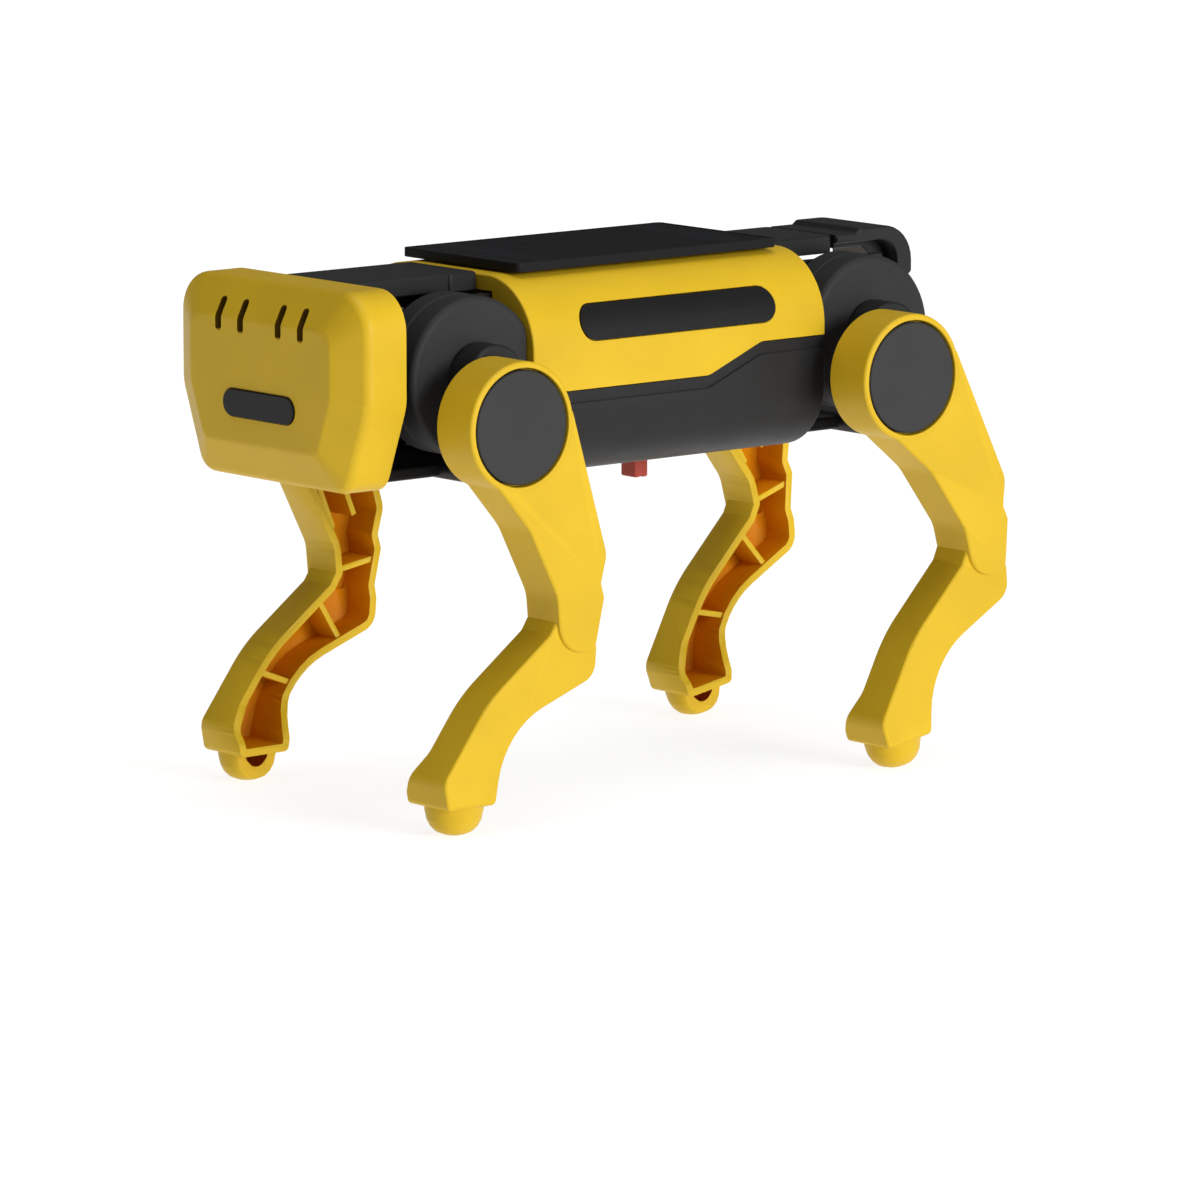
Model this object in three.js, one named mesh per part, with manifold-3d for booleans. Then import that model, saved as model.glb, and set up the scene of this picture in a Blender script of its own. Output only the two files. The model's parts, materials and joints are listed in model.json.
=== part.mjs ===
// Solar walking robot dog, a small toy on four legs. Millimetres, X forward, Y left, Z up.
// The origin is on the ground, at the middle of the object's footprint.
// A motor turns a worm, the worm turns a train of five equal gears, and the two end gears turn
// the hip axles. A crank on each axle end carries a leg, whose slot slides on a guide pin.

import * as THREE from 'three';
import { mergeVertices } from 'three/addons/utils/BufferGeometryUtils.js';
import Module from 'manifold-3d';

const wasm = await Module();
wasm.setup();

// ---- Driving dimensions ----

const GAP = 0.3;                   // between any two separate pieces
const WALL = 1.2;                  // moulded wall

const STANCE_X = 2.37;             // the standing object's middle, ahead of the drawing's zero
const BODY_X = -2.9;               // middle of the body; the head reaches further forward
const HIP_REACH = 35.5;            // from the body's middle to each axle
const AXLE_Z = 60;
const AXLE_R = 1;
const CRANK_THROW = 5.7;
const FRONT_PHASE = -70;           // left crank at rest, in degrees from +X; the right one mirrors it
const REAR_PHASE = -55.4;
const REAR_LEG_TURN = 10;          // how much further back the rear legs lean, in degrees

const OUTER_Y = 30;                // outer face of the legs
const LEG_INNER_Y = 20.8;           // at the foot
const LEG_UPPER_INNER_Y = 23.2;     // above the flare of the shin
const HUB_R = 8.85;
const HUB_BACK_Y = 22.7;
const SLOT_LEAN = 22;              // the slot runs down and back, in degrees from straight down

const DRUM_R = 10.9;
const DRUM_FACE_Y = 17.7;
const CHASSIS_Y = [8.4, 9.8];      // inner and outer face of each chassis side
const DRUM_INNER_Y = CHASSIS_Y[1] + GAP;
const BOSS_R = 4.8;

const SHELL_X = [-28.8, 23.5];
const SHELL_HALF_WIDTH = 19;
const SHELL_TOP_Z = 72.3;
const SHELL_CORNER_R = 10;
const BELLY_BOTTOM_Z = 44.6;
const BELLY_CORNER_R = 9.5;
const PARTING = { frontZ: 56.9, rearZ: 60.8, stepFrontX: -7.6, stepRearX: -17.1 };

const PANEL = { length: 46.4, width: 25, x: -2.3, bottomZ: 72.6, topZ: 73.9 };
const HEAD_X = [46.5, 52.6, 55.65];  // rear rim, start of the bevel, front face
const GEAR_TEETH = 18;
const GEAR_Y = [-8.1, -6.6];
const WORM_WHEEL_TEETH = 20;
const WORM_WHEEL_R = 4.5;           // pitch radius
const WORM_R = 1.8;                 // pitch radius
const MOTOR = { x: [4.8, 21.6], halfWidth: 5.9, halfHeight: 5.9, round: 3.2 };

const AXLE_X = { front: BODY_X + HIP_REACH, rear: BODY_X - HIP_REACH };
const GEAR_SPACING = HIP_REACH / 2;
const WORM_Z = AXLE_Z - WORM_WHEEL_R - WORM_R - 0.25;
const SIDES = { left: 1, right: -1 };

// ---- Materials ----

const FINISHES = {
  yellow: { color: 0xf1cb47, roughness: 0.38, metalness: 0 },
  black: { color: 0x2b2b2c, roughness: 0.45, metalness: 0 },
  grey: { color: 0x4a4a4a, roughness: 0.5, metalness: 0 },
  badge: { color: 0x1c1c1d, roughness: 0.35, metalness: 0 },
  cell: { color: 0x15161a, roughness: 0.25, metalness: 0 },
  steel: { color: 0xb8babd, roughness: 0.3, metalness: 1 },
  gear: { color: 0xe8e6df, roughness: 0.5, metalness: 0 },
  brass: { color: 0xc9a24b, roughness: 0.35, metalness: 1 },
  red: { color: 0xb95343, roughness: 0.4, metalness: 0 },
};

// ---- Geometry helpers ----

const rad = (degrees) => (degrees * Math.PI) / 180;

function polar(radius, degrees, centre = [0, 0]) {
  return [centre[0] + radius * Math.cos(rad(degrees)), centre[1] + radius * Math.sin(rad(degrees))];
}

// The low and high end of a stretch of Y, mirrored for the right side.
function span(side, near, far) {
  return side > 0 ? [near, far] : [-far, -near];
}

// A closed geometry as a solid, with its faces turned outwards.
function solid(geometry) {
  const bare = geometry.clone();
  bare.deleteAttribute('normal');
  bare.deleteAttribute('uv');
  const merged = mergeVertices(bare, 1e-4);
  const p = merged.attributes.position.array;
  const faces = [];
  let volume = 0;
  for (let i = 0; i < merged.index.count; i += 3) {
    const [a, b, c] = merged.index.array.slice(i, i + 3);
    if (a === b || b === c || c === a) continue;
    faces.push(a, b, c);
    const [va, vb, vc] = [a, b, c].map((k) => new THREE.Vector3().fromArray(p, 3 * k));
    volume += va.dot(vb.cross(vc));
  }
  if (volume < 0) faces.reverse();
  return new wasm.Manifold(new wasm.Mesh({
    numProp: 3,
    vertProperties: new Float32Array(p),
    triVerts: new Uint32Array(faces),
  }));
}

function join(...solids) {
  return solids.reduce((whole, next) => whole.add(next));
}

function cut(whole, ...solids) {
  return solids.reduce((left, next) => left.subtract(next), whole);
}

// Polygon corners [a, b, radius] with each radius drawn as an arc of a few steps.
function rounded(corners, steps = 2) {
  const points = [];
  corners.forEach(([x, y, r = 0], i) => {
    const here = new THREE.Vector2(x, y);
    const before = new THREE.Vector2(...corners.at(i - 1)).sub(here).normalize();
    const after = new THREE.Vector2(...corners[(i + 1) % corners.length]).sub(here).normalize();
    if (r === 0) {
      points.push([x, y]);
      return;
    }
    const half = Math.acos(THREE.MathUtils.clamp(before.dot(after), -1, 1)) / 2;
    const middle = before.clone().add(after).normalize();
    const centre = here.clone().addScaledVector(middle, r / Math.sin(half));
    const from = here.clone().addScaledVector(before, r / Math.tan(half)).sub(centre);
    const turn = from.cross(here.clone().addScaledVector(after, r / Math.tan(half)).sub(centre));
    const sweep = Math.sign(turn) * (Math.PI - 2 * half);
    for (let k = 0; k <= steps; k++) {
      const arm = from.clone().rotateAround(new THREE.Vector2(), (sweep * k) / steps);
      points.push([centre.x + arm.x, centre.y + arm.y]);
    }
  });
  return points;
}

// A polygon with corner radii moved inwards by a wall, radii following.
function inset(corners, wall) {
  const area = THREE.ShapeUtils.area(corners.map(([x, y]) => new THREE.Vector2(x, y)));
  const turn = Math.sign(area);
  const edge = (a, b) => {
    const along = new THREE.Vector2(b[0] - a[0], b[1] - a[1]).normalize();
    return { x: a[0] - along.y * turn * wall, y: a[1] + along.x * turn * wall, along };
  };
  return corners.map((corner, i) => {
    const e = edge(corners.at(i - 1), corner);
    const f = edge(corner, corners[(i + 1) % corners.length]);
    const k = ((f.x - e.x) * f.along.y - (f.y - e.y) * f.along.x) / e.along.cross(f.along);
    const bend = Math.sign(e.along.cross(f.along)) * turn;
    const radius = corner[2] ? Math.max(corner[2] - bend * wall, 0.4) : 0;
    return [e.x + k * e.along.x, e.y + k * e.along.y, radius];
  });
}

function circle(radius, centre, steps) {
  return Array.from({ length: steps }, (_, i) => polar(radius, (360 * i) / steps, centre));
}

function obround(radius, from, to, steps = 8) {
  const lean = (Math.atan2(to[1] - from[1], to[0] - from[0]) * 180) / Math.PI;
  const end = (centre, start) => Array.from(
    { length: steps + 1 },
    (_, i) => polar(radius, start + (180 * i) / steps, centre),
  );
  return [...end(to, lean - 90), ...end(from, lean + 90)];
}

function rectangle([x0, x1], [y0, y1], r = 0) {
  return [[x0, y0, r], [x1, y0, r], [x1, y1, r], [x0, y1, r]];
}

// An outline pushed along an axis: (X, Z) along y, (Y, Z) along x, (X, Y) along z.
function prism(points, axis, [from, to]) {
  const shape = new THREE.Shape(points.map(([a, b]) => new THREE.Vector2(a, b)));
  const geometry = new THREE.ExtrudeGeometry(shape, { depth: to - from, bevelEnabled: false });
  if (axis === 'x') {
    const [x, y, z] = [new THREE.Vector3(1, 0, 0), new THREE.Vector3(0, 1, 0), new THREE.Vector3(0, 0, 1)];
    geometry.applyMatrix4(new THREE.Matrix4().makeBasis(y, z, x)).translate(from, 0, 0);
  }
  if (axis === 'y') geometry.rotateX(Math.PI / 2).translate(0, to, 0);
  if (axis === 'z') geometry.translate(0, 0, from);
  return solid(geometry);
}

function box([x0, x1], [y0, y1], [z0, z1]) {
  const geometry = new THREE.BoxGeometry(x1 - x0, y1 - y0, z1 - z0);
  return solid(geometry.translate((x0 + x1) / 2, (y0 + y1) / 2, (z0 + z1) / 2));
}

// A round bar or bore along an axis; the centre is given in the outline's two coordinates.
function rod(radius, axis, ends, centre = [0, 0], steps = 10) {
  return prism(circle(radius, centre, steps), axis, ends);
}

// A closed profile of [radius, y] points turned about a line along Y.
function turned(profile, [x, z], side, steps = 28) {
  const points = profile.map(([r, y]) => new THREE.Vector2(r, side * y));
  points.push(points[0].clone());
  return solid(new THREE.LatheGeometry(points, steps).translate(x, 0, z));
}

// Outlines of equal point count in (Y, Z), joined from one X to the next.
function loft(sections) {
  const count = sections[0].points.length;
  const positions = sections.flatMap(({ x, points }) => points.flatMap(([y, z]) => [x, y, z]));
  const flat = sections[0].points.map(([y, z]) => new THREE.Vector2(y, z));
  const cap = THREE.ShapeUtils.triangulateShape(flat, []);
  const last = (sections.length - 1) * count;
  const index = cap.flatMap(([a, b, c]) => [c, b, a, last + a, last + b, last + c]);
  for (let s = 0; s < sections.length - 1; s++) {
    for (let i = 0; i < count; i++) {
      const [a, b] = [s * count + i, s * count + ((i + 1) % count)];
      index.push(a, b, b + count, a, b + count, a + count);
    }
  }
  const geometry = new THREE.BufferGeometry();
  geometry.setAttribute('position', new THREE.Float32BufferAttribute(positions, 3));
  geometry.setIndex(index);
  return solid(geometry);
}

function toGeometry(shape) {
  const { vertProperties, triVerts } = shape.getMesh();
  const geometry = new THREE.BufferGeometry();
  geometry.setAttribute('position', new THREE.Float32BufferAttribute(vertProperties, 3));
  geometry.setIndex(Array.from(triVerts));
  geometry.computeVertexNormals();
  return geometry;
}

// ---- The assembly ----

const robotDog = new THREE.Group();

function place(name, shape, finish, position = [0, 0, 0], turnY = 0) {
  const mesh = new THREE.Mesh(toGeometry(shape), new THREE.MeshStandardMaterial(FINISHES[finish]));
  mesh.name = name;
  mesh.position.set(...position);
  mesh.rotation.y = rad(turnY);
  robotDog.add(mesh);
}

const hips = {
  front: { x: AXLE_X.front, phase: FRONT_PHASE, turn: 0 },
  rear: { x: AXLE_X.rear, phase: REAR_PHASE, turn: REAR_LEG_TURN },
};
for (const hip of Object.values(hips)) {
  hip.hub = {
    left: polar(CRANK_THROW, hip.phase, [hip.x, AXLE_Z]),
    right: polar(CRANK_THROW, -180 - hip.phase, [hip.x, AXLE_Z]),
  };
}

// The foot's bowl as [radius, rise above the sole]. All four legs are one moulding, so the foot
// sits where both the upright front legs and the leaning rear legs reach the ground.
const BOWL = [[0, 0], [1.3, 0.12], [2.5, 0.59], [3.2, 1.29], [3.7, 2.24], [4, 3.64], [4, 5]];
const SOLE_DROP = hips.front.hub.left[1];
const LEAN = rad(REAR_LEG_TURN);
const reachDown = ([r, rise]) => (SOLE_DROP - rise) * Math.cos(LEAN) + r * Math.sin(LEAN);
const LEAN_DROP = Math.max(...BOWL.map(reachDown));
const FOOT_X = (hips.rear.hub.left[1] - LEAN_DROP) / Math.sin(LEAN);

// ---- Legs: hollow, open on the inner side, drawn about the hub in (X, Z) ----

const UPPER_LEG = [
  [7.3, -5, 0], [3.9, -8, 4], [-1.3, -14, 8], [-6.1, -23.5, 5], [-6.8, -31.4, 4.2], [-12.7, -31.4, 1.6],
  [-14.35, -24.3, 0.6], [-13.8, -22.3, 0.6], [-14.8, -18.5, 3], [-8.85, 1.5, 0],
];
const LOWER_LEG = [
  [-7, -26, 0], [-5.3, -28.6, 1], [5.4, -36.5, 22], [13, -46.6, 2.5], [12.3, -50.55, 0.9], [4.1, -50.5, 0.8],
  [2.3, -40.65, 12], [-13.2, -34.95, 2.8], [-13.5, -31.2, 1], [-12.6, -26, 0],
];
const FLARE_Z = [-48.8, -43.5];     // the leg is shallower above this stretch
const LEG_WALL = 1.1;
const LEG_SKIN_Y = OUTER_Y - WALL;
const LOWER_FACE_Y = OUTER_Y - 0.6;
const RIB = 0.8;
const SLOT = { width: 3.2, from: 9.2, to: 21.5 };
const BEARING = { boreR: 2.3, outerR: 3.7, floorY: [26.4, 27.5] };
const CAP_R = 7.7;
const FOOT = { y: 25.1, flatY: 22.9, wall: 0.9 };

// A rib from one point to another, as a thin bar.
function ribBar([x0, z0], [x1, z1], ends) {
  const across = new THREE.Vector2(z0 - z1, x1 - x0).setLength(RIB / 2);
  const corners = [
    [x0 + across.x, z0 + across.y], [x1 + across.x, z1 + across.y],
    [x1 - across.x, z1 - across.y], [x0 - across.x, z0 - across.y],
  ];
  return prism(corners, 'y', ends);
}

function legRibs(side) {
  const depth = span(side, LEG_UPPER_INNER_Y + 0.4, OUTER_Y - 0.8);
  const along = (distance, offset) => {
    const [x, z] = polar(distance, -90 - SLOT_LEAN);
    return [x + offset * Math.cos(rad(SLOT_LEAN)), z - offset * Math.sin(rad(SLOT_LEAN))];
  };
  const offsets = [-1, 1].map((way) => (way * (SLOT.width + RIB)) / 2);
  return join(
    ...offsets.map((offset) => ribBar(along(SLOT.from, offset), along(SLOT.to, offset), depth)),
    ribBar([-13.4, -25.6], [-6.9, -26.8], depth),
    ribBar([-7.4, -36.6], [-3.6, -30.6], depth),
    ribBar([1.4, -41.4], [6.8, -39.5], depth),
  );
}

// The side view of the leg's depth: shallow above, flared inwards at the foot.
function legDepth(side) {
  const profile = [
    [LEG_INNER_Y, -60], [LEG_INNER_Y, FLARE_Z[0]], [LEG_UPPER_INNER_Y, FLARE_Z[1]],
    [LEG_UPPER_INNER_Y, 20], [OUTER_Y + 1, 20], [OUTER_Y + 1, -60],
  ];
  return prism(profile.map(([y, z]) => [side * y, z]), 'x', [-30, 30]);
}

function leg(side) {
  const outside = join(
    prism(rounded(UPPER_LEG), 'y', span(side, LEG_INNER_Y, OUTER_Y)),
    prism(rounded(LOWER_LEG), 'y', span(side, LEG_INNER_Y, LOWER_FACE_Y)),
  ).intersect(legDepth(side));
  const pocket = cut(
    join(
      prism(rounded(inset(UPPER_LEG, LEG_WALL)), 'y', span(side, 0, LEG_SKIN_Y)),
      prism(rounded(inset(LOWER_LEG, LEG_WALL)), 'y', span(side, 0, LOWER_FACE_Y - WALL)),
    ),
    legRibs(side),
  );
  const disc = rod(HUB_R, 'y', span(side, HUB_BACK_Y, OUTER_Y), [0, 0], 24);
  const hubRoom = rod(HUB_R - 1.6, 'y', span(side, 0, BEARING.floorY[0]), [0, 0], 16);
  const bearing = rod(BEARING.outerR, 'y', span(side, HUB_BACK_Y, BEARING.floorY[1]));
  const capRoom = rod(CAP_R + GAP, 'y', span(side, OUTER_Y - 1.7, OUTER_Y + 1), [0, 0], 24);
  const screwRoom = rod(CAP_R - 1.2, 'y', span(side, BEARING.floorY[1], OUTER_Y + 1), [0, 0], 16);
  const bore = rod(BEARING.boreR, 'y', span(side, 0, OUTER_Y + 1));

  const hubSpace = rod(HUB_R - 0.4, 'y', span(side, 0, OUTER_Y + 1), [0, 0], 24);
  const shell = cut(outside, pocket, hubSpace);
  const hub = join(cut(disc, hubRoom, capRoom, screwRoom), bearing);
  return join(shell, cut(hub, bore), foot(side));
}

// The foot: a small round bowl under the end of the lower leg, cut flat and open on the inner side.
function foot(side) {
  const bowl = (wall) => {
    const profile = BOWL.map(([r, rise]) => [Math.max(r - wall, 0), rise + wall]);
    const points = [[0, profile[0][1]], ...profile.slice(1), [0, profile.at(-1)[1]]];
    const lathe = new THREE.LatheGeometry(points.map(([r, rise]) => new THREE.Vector2(r, rise)), 24);
    return solid(lathe.rotateX(Math.PI / 2).translate(FOOT_X, side * FOOT.y, -SOLE_DROP));
  };
  const innerPart = box([FOOT_X - 6, FOOT_X + 6], span(side, 0, FOOT.flatY), [-60, -40]);
  return cut(bowl(0), innerPart, bowl(FOOT.wall));
}

function hubCap(side) {
  return rod(CAP_R, 'y', span(side, OUTER_Y - 1.4, OUTER_Y - 0.1), [0, 0], 24);
}

// ---- Hips: fixed drums, and the cranks that turn in them ----

const CRANK_ARM_Y = 21;
const CRANK_FACE_Y = HUB_BACK_Y - 0.4;
const CRANK_PIN_END_Y = BEARING.floorY[1] - 0.1;
const CRANK_PIN_R = 2;
const SLEEVE_R = 2.5;
const AXLE_END_Y = 20;

function hipDrum(hip, side) {
  const edge = 0.8;
  const cup = turned([
    [DRUM_R - WALL, DRUM_INNER_Y], [DRUM_R, DRUM_INNER_Y], [DRUM_R, DRUM_FACE_Y - edge],
    [DRUM_R - edge, DRUM_FACE_Y],
    [SLEEVE_R + 0.4, DRUM_FACE_Y], [SLEEVE_R + 0.4, DRUM_FACE_Y - WALL], [DRUM_R - WALL, DRUM_FACE_Y - WALL],
  ], [hip.x, AXLE_Z], side);
  const shellSpace = box([SHELL_X[0] - GAP, SHELL_X[1] + GAP], [-25, 25], [0, 90]);
  return cut(cup, shellSpace);
}

function crank(hip, hub, side) {
  const axle = [hip.x, AXLE_Z];
  return cut(
    join(
      rod(SLEEVE_R, 'y', span(side, 12, DRUM_FACE_Y + GAP), axle),
      rod(BOSS_R, 'y', span(side, DRUM_FACE_Y + GAP, CRANK_FACE_Y), axle, 20),
      prism(obround(BEARING.outerR, axle, hub, 6), 'y', span(side, CRANK_ARM_Y, CRANK_FACE_Y)),
      rod(CRANK_PIN_R, 'y', span(side, CRANK_FACE_Y, CRANK_PIN_END_Y), hub),
    ),
    rod(AXLE_R + GAP, 'y', span(side, 11, AXLE_END_Y + GAP), axle),
    rod(1.1, 'y', span(side, CRANK_FACE_Y + 1, CRANK_PIN_END_Y + 1), hub, 8),
  );
}

function crankScrew(side) {
  const under = CRANK_PIN_END_Y + GAP;
  const driveSlot = box([-3, 3], span(side, under + 0.55, under + 1), [-0.3, 0.3]);
  const head = cut(rod(2.6, 'y', span(side, under, under + 0.8)), driveSlot);
  return join(head, rod(0.8, 'y', span(side, CRANK_FACE_Y + 1.3, under), [0, 0], 8));
}

for (const [end, hip] of Object.entries(hips)) {
  for (const [sideName, side] of Object.entries(SIDES)) {
    const hub = hip.hub[sideName];
    const [hubX, hubZ] = hub;
    place(`leg_${end}_${sideName}`, leg(side), 'yellow', [hubX, 0, hubZ], hip.turn);
    place(`hub_cap_${end}_${sideName}`, hubCap(side), 'grey', [hubX, 0, hubZ]);
    place(`crank_screw_${end}_${sideName}`, crankScrew(side), 'steel', [hubX, 0, hubZ]);
    place(`crank_${end}_${sideName}`, crank(hip, hub, side), 'black');
    place(`hip_drum_${end}_${sideName}`, hipDrum(hip, side), 'black');
  }
  const axle = rod(AXLE_R, 'y', [-AXLE_END_Y, AXLE_END_Y], [hip.x, AXLE_Z]);
  place(`${end}_axle`, axle, 'steel');
}

// ---- Gear train ----

function toothed(teeth, rootR, tipR, rootHalf, tipHalf, phase = 0) {
  const pitch = 360 / teeth;
  return Array.from({ length: teeth }, (_, i) => phase + i * pitch).flatMap((middle) => [
    polar(rootR, middle - rootHalf * pitch), polar(tipR, middle - tipHalf * pitch),
    polar(tipR, middle + tipHalf * pitch), polar(rootR, middle + rootHalf * pitch),
  ]);
}

function spurGear(x, phase) {
  const pitchR = GEAR_SPACING / 2;
  const module = (2 * pitchR) / GEAR_TEETH;
  const outline = toothed(GEAR_TEETH, pitchR - 1.2 * module, pitchR + 0.8 * module, 0.3, 0.11, phase);
  const centred = outline.map(([a, b]) => [a + x, b + AXLE_Z]);
  const collar = rod(2.6, 'y', [GEAR_Y[1], GEAR_Y[1] + 0.4], [x, AXLE_Z]);
  const bore = rod(AXLE_R + GAP, 'y', [GEAR_Y[0] - 1, GEAR_Y[1] + 2], [x, AXLE_Z]);
  return cut(join(prism(centred, 'y', GEAR_Y), collar), bore);
}

const gearNames = ['rear_axle_gear', 'rear_idler_gear', 'centre_gear', 'front_idler_gear', 'front_axle_gear'];
const halfPitch = 180 / GEAR_TEETH;
gearNames.forEach((name, i) => {
  place(name, spurGear(AXLE_X.rear + i * GEAR_SPACING, (i % 2) * halfPitch), 'gear');
});

for (const [end, way] of [['front', 1], ['rear', -1]]) {
  const pin = rod(AXLE_R, 'y', [-CHASSIS_Y[1] + GAP, GEAR_Y[1] + 0.4], [BODY_X + way * GEAR_SPACING, AXLE_Z]);
  place(`${end}_idler_pin`, pin, 'steel');
}

place('centre_shaft', rod(AXLE_R, 'y', [-CHASSIS_Y[1], CHASSIS_Y[1]], [BODY_X, AXLE_Z]), 'steel');

function wormWheel() {
  const outline = toothed(WORM_WHEEL_TEETH, WORM_WHEEL_R - 0.5, WORM_WHEEL_R + 0.3, 0.27, 0.12, 90);
  const centred = outline.map(([a, b]) => [a + BODY_X, b + AXLE_Z]);
  const collar = rod(2.4, 'y', [1, 3.4], [BODY_X, AXLE_Z]);
  const bore = rod(AXLE_R + GAP, 'y', [-4, 4], [BODY_X, AXLE_Z]);
  return cut(join(prism(centred, 'y', [-1, 1]), collar), bore);
}
place('worm_wheel', wormWheel(), 'gear');

// ---- Motor and worm ----

const WORM_X = [BODY_X - 3.6, BODY_X + 3.6];
const WORM_LEAD = (2 * Math.PI * WORM_WHEEL_R) / WORM_WHEEL_TEETH;
const SHAFT_R = 0.75;

class WormThreadPath extends THREE.Curve {
  constructor(turns) {
    super();
    this.turns = turns;
  }

  getPoint(t, target = new THREE.Vector3()) {
    const turn = 2 * Math.PI * this.turns * t;
    const x = BODY_X + WORM_LEAD * (this.turns * (t - 0.5));
    return target.set(x, 1.55 * Math.sin(turn), WORM_Z + 1.55 * Math.cos(turn));
  }
}

function driveWorm() {
  const turns = 3;
  const section = new THREE.Shape([[-0.4, -0.2], [0.4, -0.11], [0.4, 0.11], [-0.4, 0.2]]
    .map(([a, b]) => new THREE.Vector2(a, b)));
  const thread = new THREE.ExtrudeGeometry(section, {
    steps: turns * 9,
    bevelEnabled: false,
    extrudePath: new WormThreadPath(turns),
  });
  const core = rod(1.35, 'x', WORM_X, [0, WORM_Z], 10);
  const bore = rod(SHAFT_R + GAP, 'x', [WORM_X[0] - 1, WORM_X[1] + 1], [0, WORM_Z], 8);
  return cut(join(core, solid(thread)), bore);
}
place('drive_worm', driveWorm(), 'brass');
place('motor_shaft', rod(SHAFT_R, 'x', [WORM_X[0] - 0.4, MOTOR.x[0] + 2], [0, WORM_Z], 8), 'steel');

const motorHeight = [WORM_Z - MOTOR.halfHeight, WORM_Z + MOTOR.halfHeight];
const motorWidth = [-MOTOR.halfWidth, MOTOR.halfWidth];
const motorCan = cut(
  prism(rounded(rectangle(motorWidth, motorHeight, MOTOR.round)), 'x', [MOTOR.x[0], MOTOR.x[1] - 2.2]),
  rod(SHAFT_R + GAP, 'x', [MOTOR.x[0] - 1, MOTOR.x[0] + 2.6], [0, WORM_Z], 8),
);
place('motor_can', motorCan, 'steel');
const motorEnd = rounded(rectangle([-5.6, 5.6], [WORM_Z - 5.6, WORM_Z + 5.6], 2.8));
place('motor_end_cap', prism(motorEnd, 'x', [MOTOR.x[1] - 1.9, MOTOR.x[1]]), 'black');

const cradleX = [8, 18];
const motorCradle = join(
  box(cradleX, [-7.3, 7.3], [BELLY_BOTTOM_Z + WALL + GAP, WORM_Z - MOTOR.halfHeight - GAP]),
  ...Object.values(SIDES).map((side) => box(cradleX, span(side, MOTOR.halfWidth + GAP, 7.3), [46.5, 49.9])),
);
place('motor_cradle', motorCradle, 'black');

// ---- Chassis: two side plates held apart by four screws ----

const PLATE_TOP_Z = 69.8;
const STANDOFF_RISE = 7.6;          // from the gear line, in the room between two gears
const standoffs = [
  [BODY_X + GEAR_SPACING / 2, AXLE_Z + STANDOFF_RISE], [BODY_X - GEAR_SPACING / 2, AXLE_Z + STANDOFF_RISE],
  [BODY_X - GEAR_SPACING / 2, AXLE_Z - STANDOFF_RISE], [2.6, 49.6],
];

function chassisPlate(side) {
  const ends = span(side, ...CHASSIS_Y);
  const middle = [[-31, 49], [27, 49], [27, PLATE_TOP_Z], [-31, PLATE_TOP_Z]];
  const keel = [[-27, 47.2], [21.8, 47.2], [21.8, 50], [-27, 50]];
  const nose = [[27, 52], [44.3, 52], [44.3, 67], [27, PLATE_TOP_Z]];
  const tail = [[-47.5, 54], [-31, 52], [-31, PLATE_TOP_Z], [-47.5, PLATE_TOP_Z]];
  const plate = join(...[middle, keel, nose, tail].map((outline) => prism(outline, 'y', ends)));
  const through = span(side, CHASSIS_Y[0] - 1, CHASSIS_Y[1] + 1);
  const shafts = [AXLE_X.front, AXLE_X.rear, BODY_X, BODY_X + GEAR_SPACING, BODY_X - GEAR_SPACING];
  return cut(
    plate,
    ...shafts.map((x) => rod(AXLE_R + GAP, 'y', through, [x, AXLE_Z])),
    ...standoffs.map((at) => rod(1.1 + GAP, 'y', through, at, 10)),
  );
}

// A spacer between the plates, with its screw through both and the head outside the left one.
function standoff(at) {
  const post = rod(1.6, 'y', [-CHASSIS_Y[0] + GAP, CHASSIS_Y[0] - GAP], at);
  const screw = rod(1.1, 'y', [-CHASSIS_Y[1] + 0.2, CHASSIS_Y[1] + 0.5], at, 10);
  return join(post, screw, rod(1.9, 'y', [CHASSIS_Y[1] + GAP, CHASSIS_Y[1] + 1.2], at));
}

for (const [sideName, side] of Object.entries(SIDES)) {
  place(`chassis_side_${sideName}`, chassisPlate(side), 'black');
}
standoffs.forEach((at, i) => place(`chassis_standoff_${i + 1}`, standoff(at), 'steel'));

// ---- Body shells, meeting at a stepped parting line ----

function partingProfile(lift) {
  return [
    [SHELL_X[1] + 1, PARTING.frontZ + lift], [PARTING.stepFrontX, PARTING.frontZ + lift],
    [PARTING.stepRearX, PARTING.rearZ + lift], [SHELL_X[0] - 1, PARTING.rearZ + lift],
  ];
}

function bodyTube(wall, [x0, x1]) {
  const section = [
    [-SHELL_HALF_WIDTH, BELLY_BOTTOM_Z, BELLY_CORNER_R], [SHELL_HALF_WIDTH, BELLY_BOTTOM_Z, BELLY_CORNER_R],
    [SHELL_HALF_WIDTH, SHELL_TOP_Z, SHELL_CORNER_R], [-SHELL_HALF_WIDTH, SHELL_TOP_Z, SHELL_CORNER_R],
  ];
  return prism(rounded(wall ? inset(section, wall) : section, 6), 'x', [x0, x1]);
}

const hollowBody = cut(
  bodyTube(0, SHELL_X),
  bodyTube(WALL, [SHELL_X[0] + WALL, SHELL_X[1] - WALL]),
  box([SHELL_X[0] - 1, SHELL_X[1] + 1], [-CHASSIS_Y[1] - GAP, CHASSIS_Y[1] + GAP], [48.6, PLATE_TOP_Z + GAP]),
);
const aboveParting = prism([...partingProfile(0), [SHELL_X[0] - 1, 90], [SHELL_X[1] + 1, 90]], 'y', [-25, 25]);
const belowParting = prism([...partingProfile(-GAP), [SHELL_X[0] - 1, 0], [SHELL_X[1] + 1, 0]], 'y', [-25, 25]);

const BADGE = { length: 34.7, height: 4.7, x: -2.6, z: 65.8, depth: 0.5 };
const SWITCH = { x: -9, y: 1.5, travel: 2.2, knob: [2.4, 3.2] };

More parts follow.
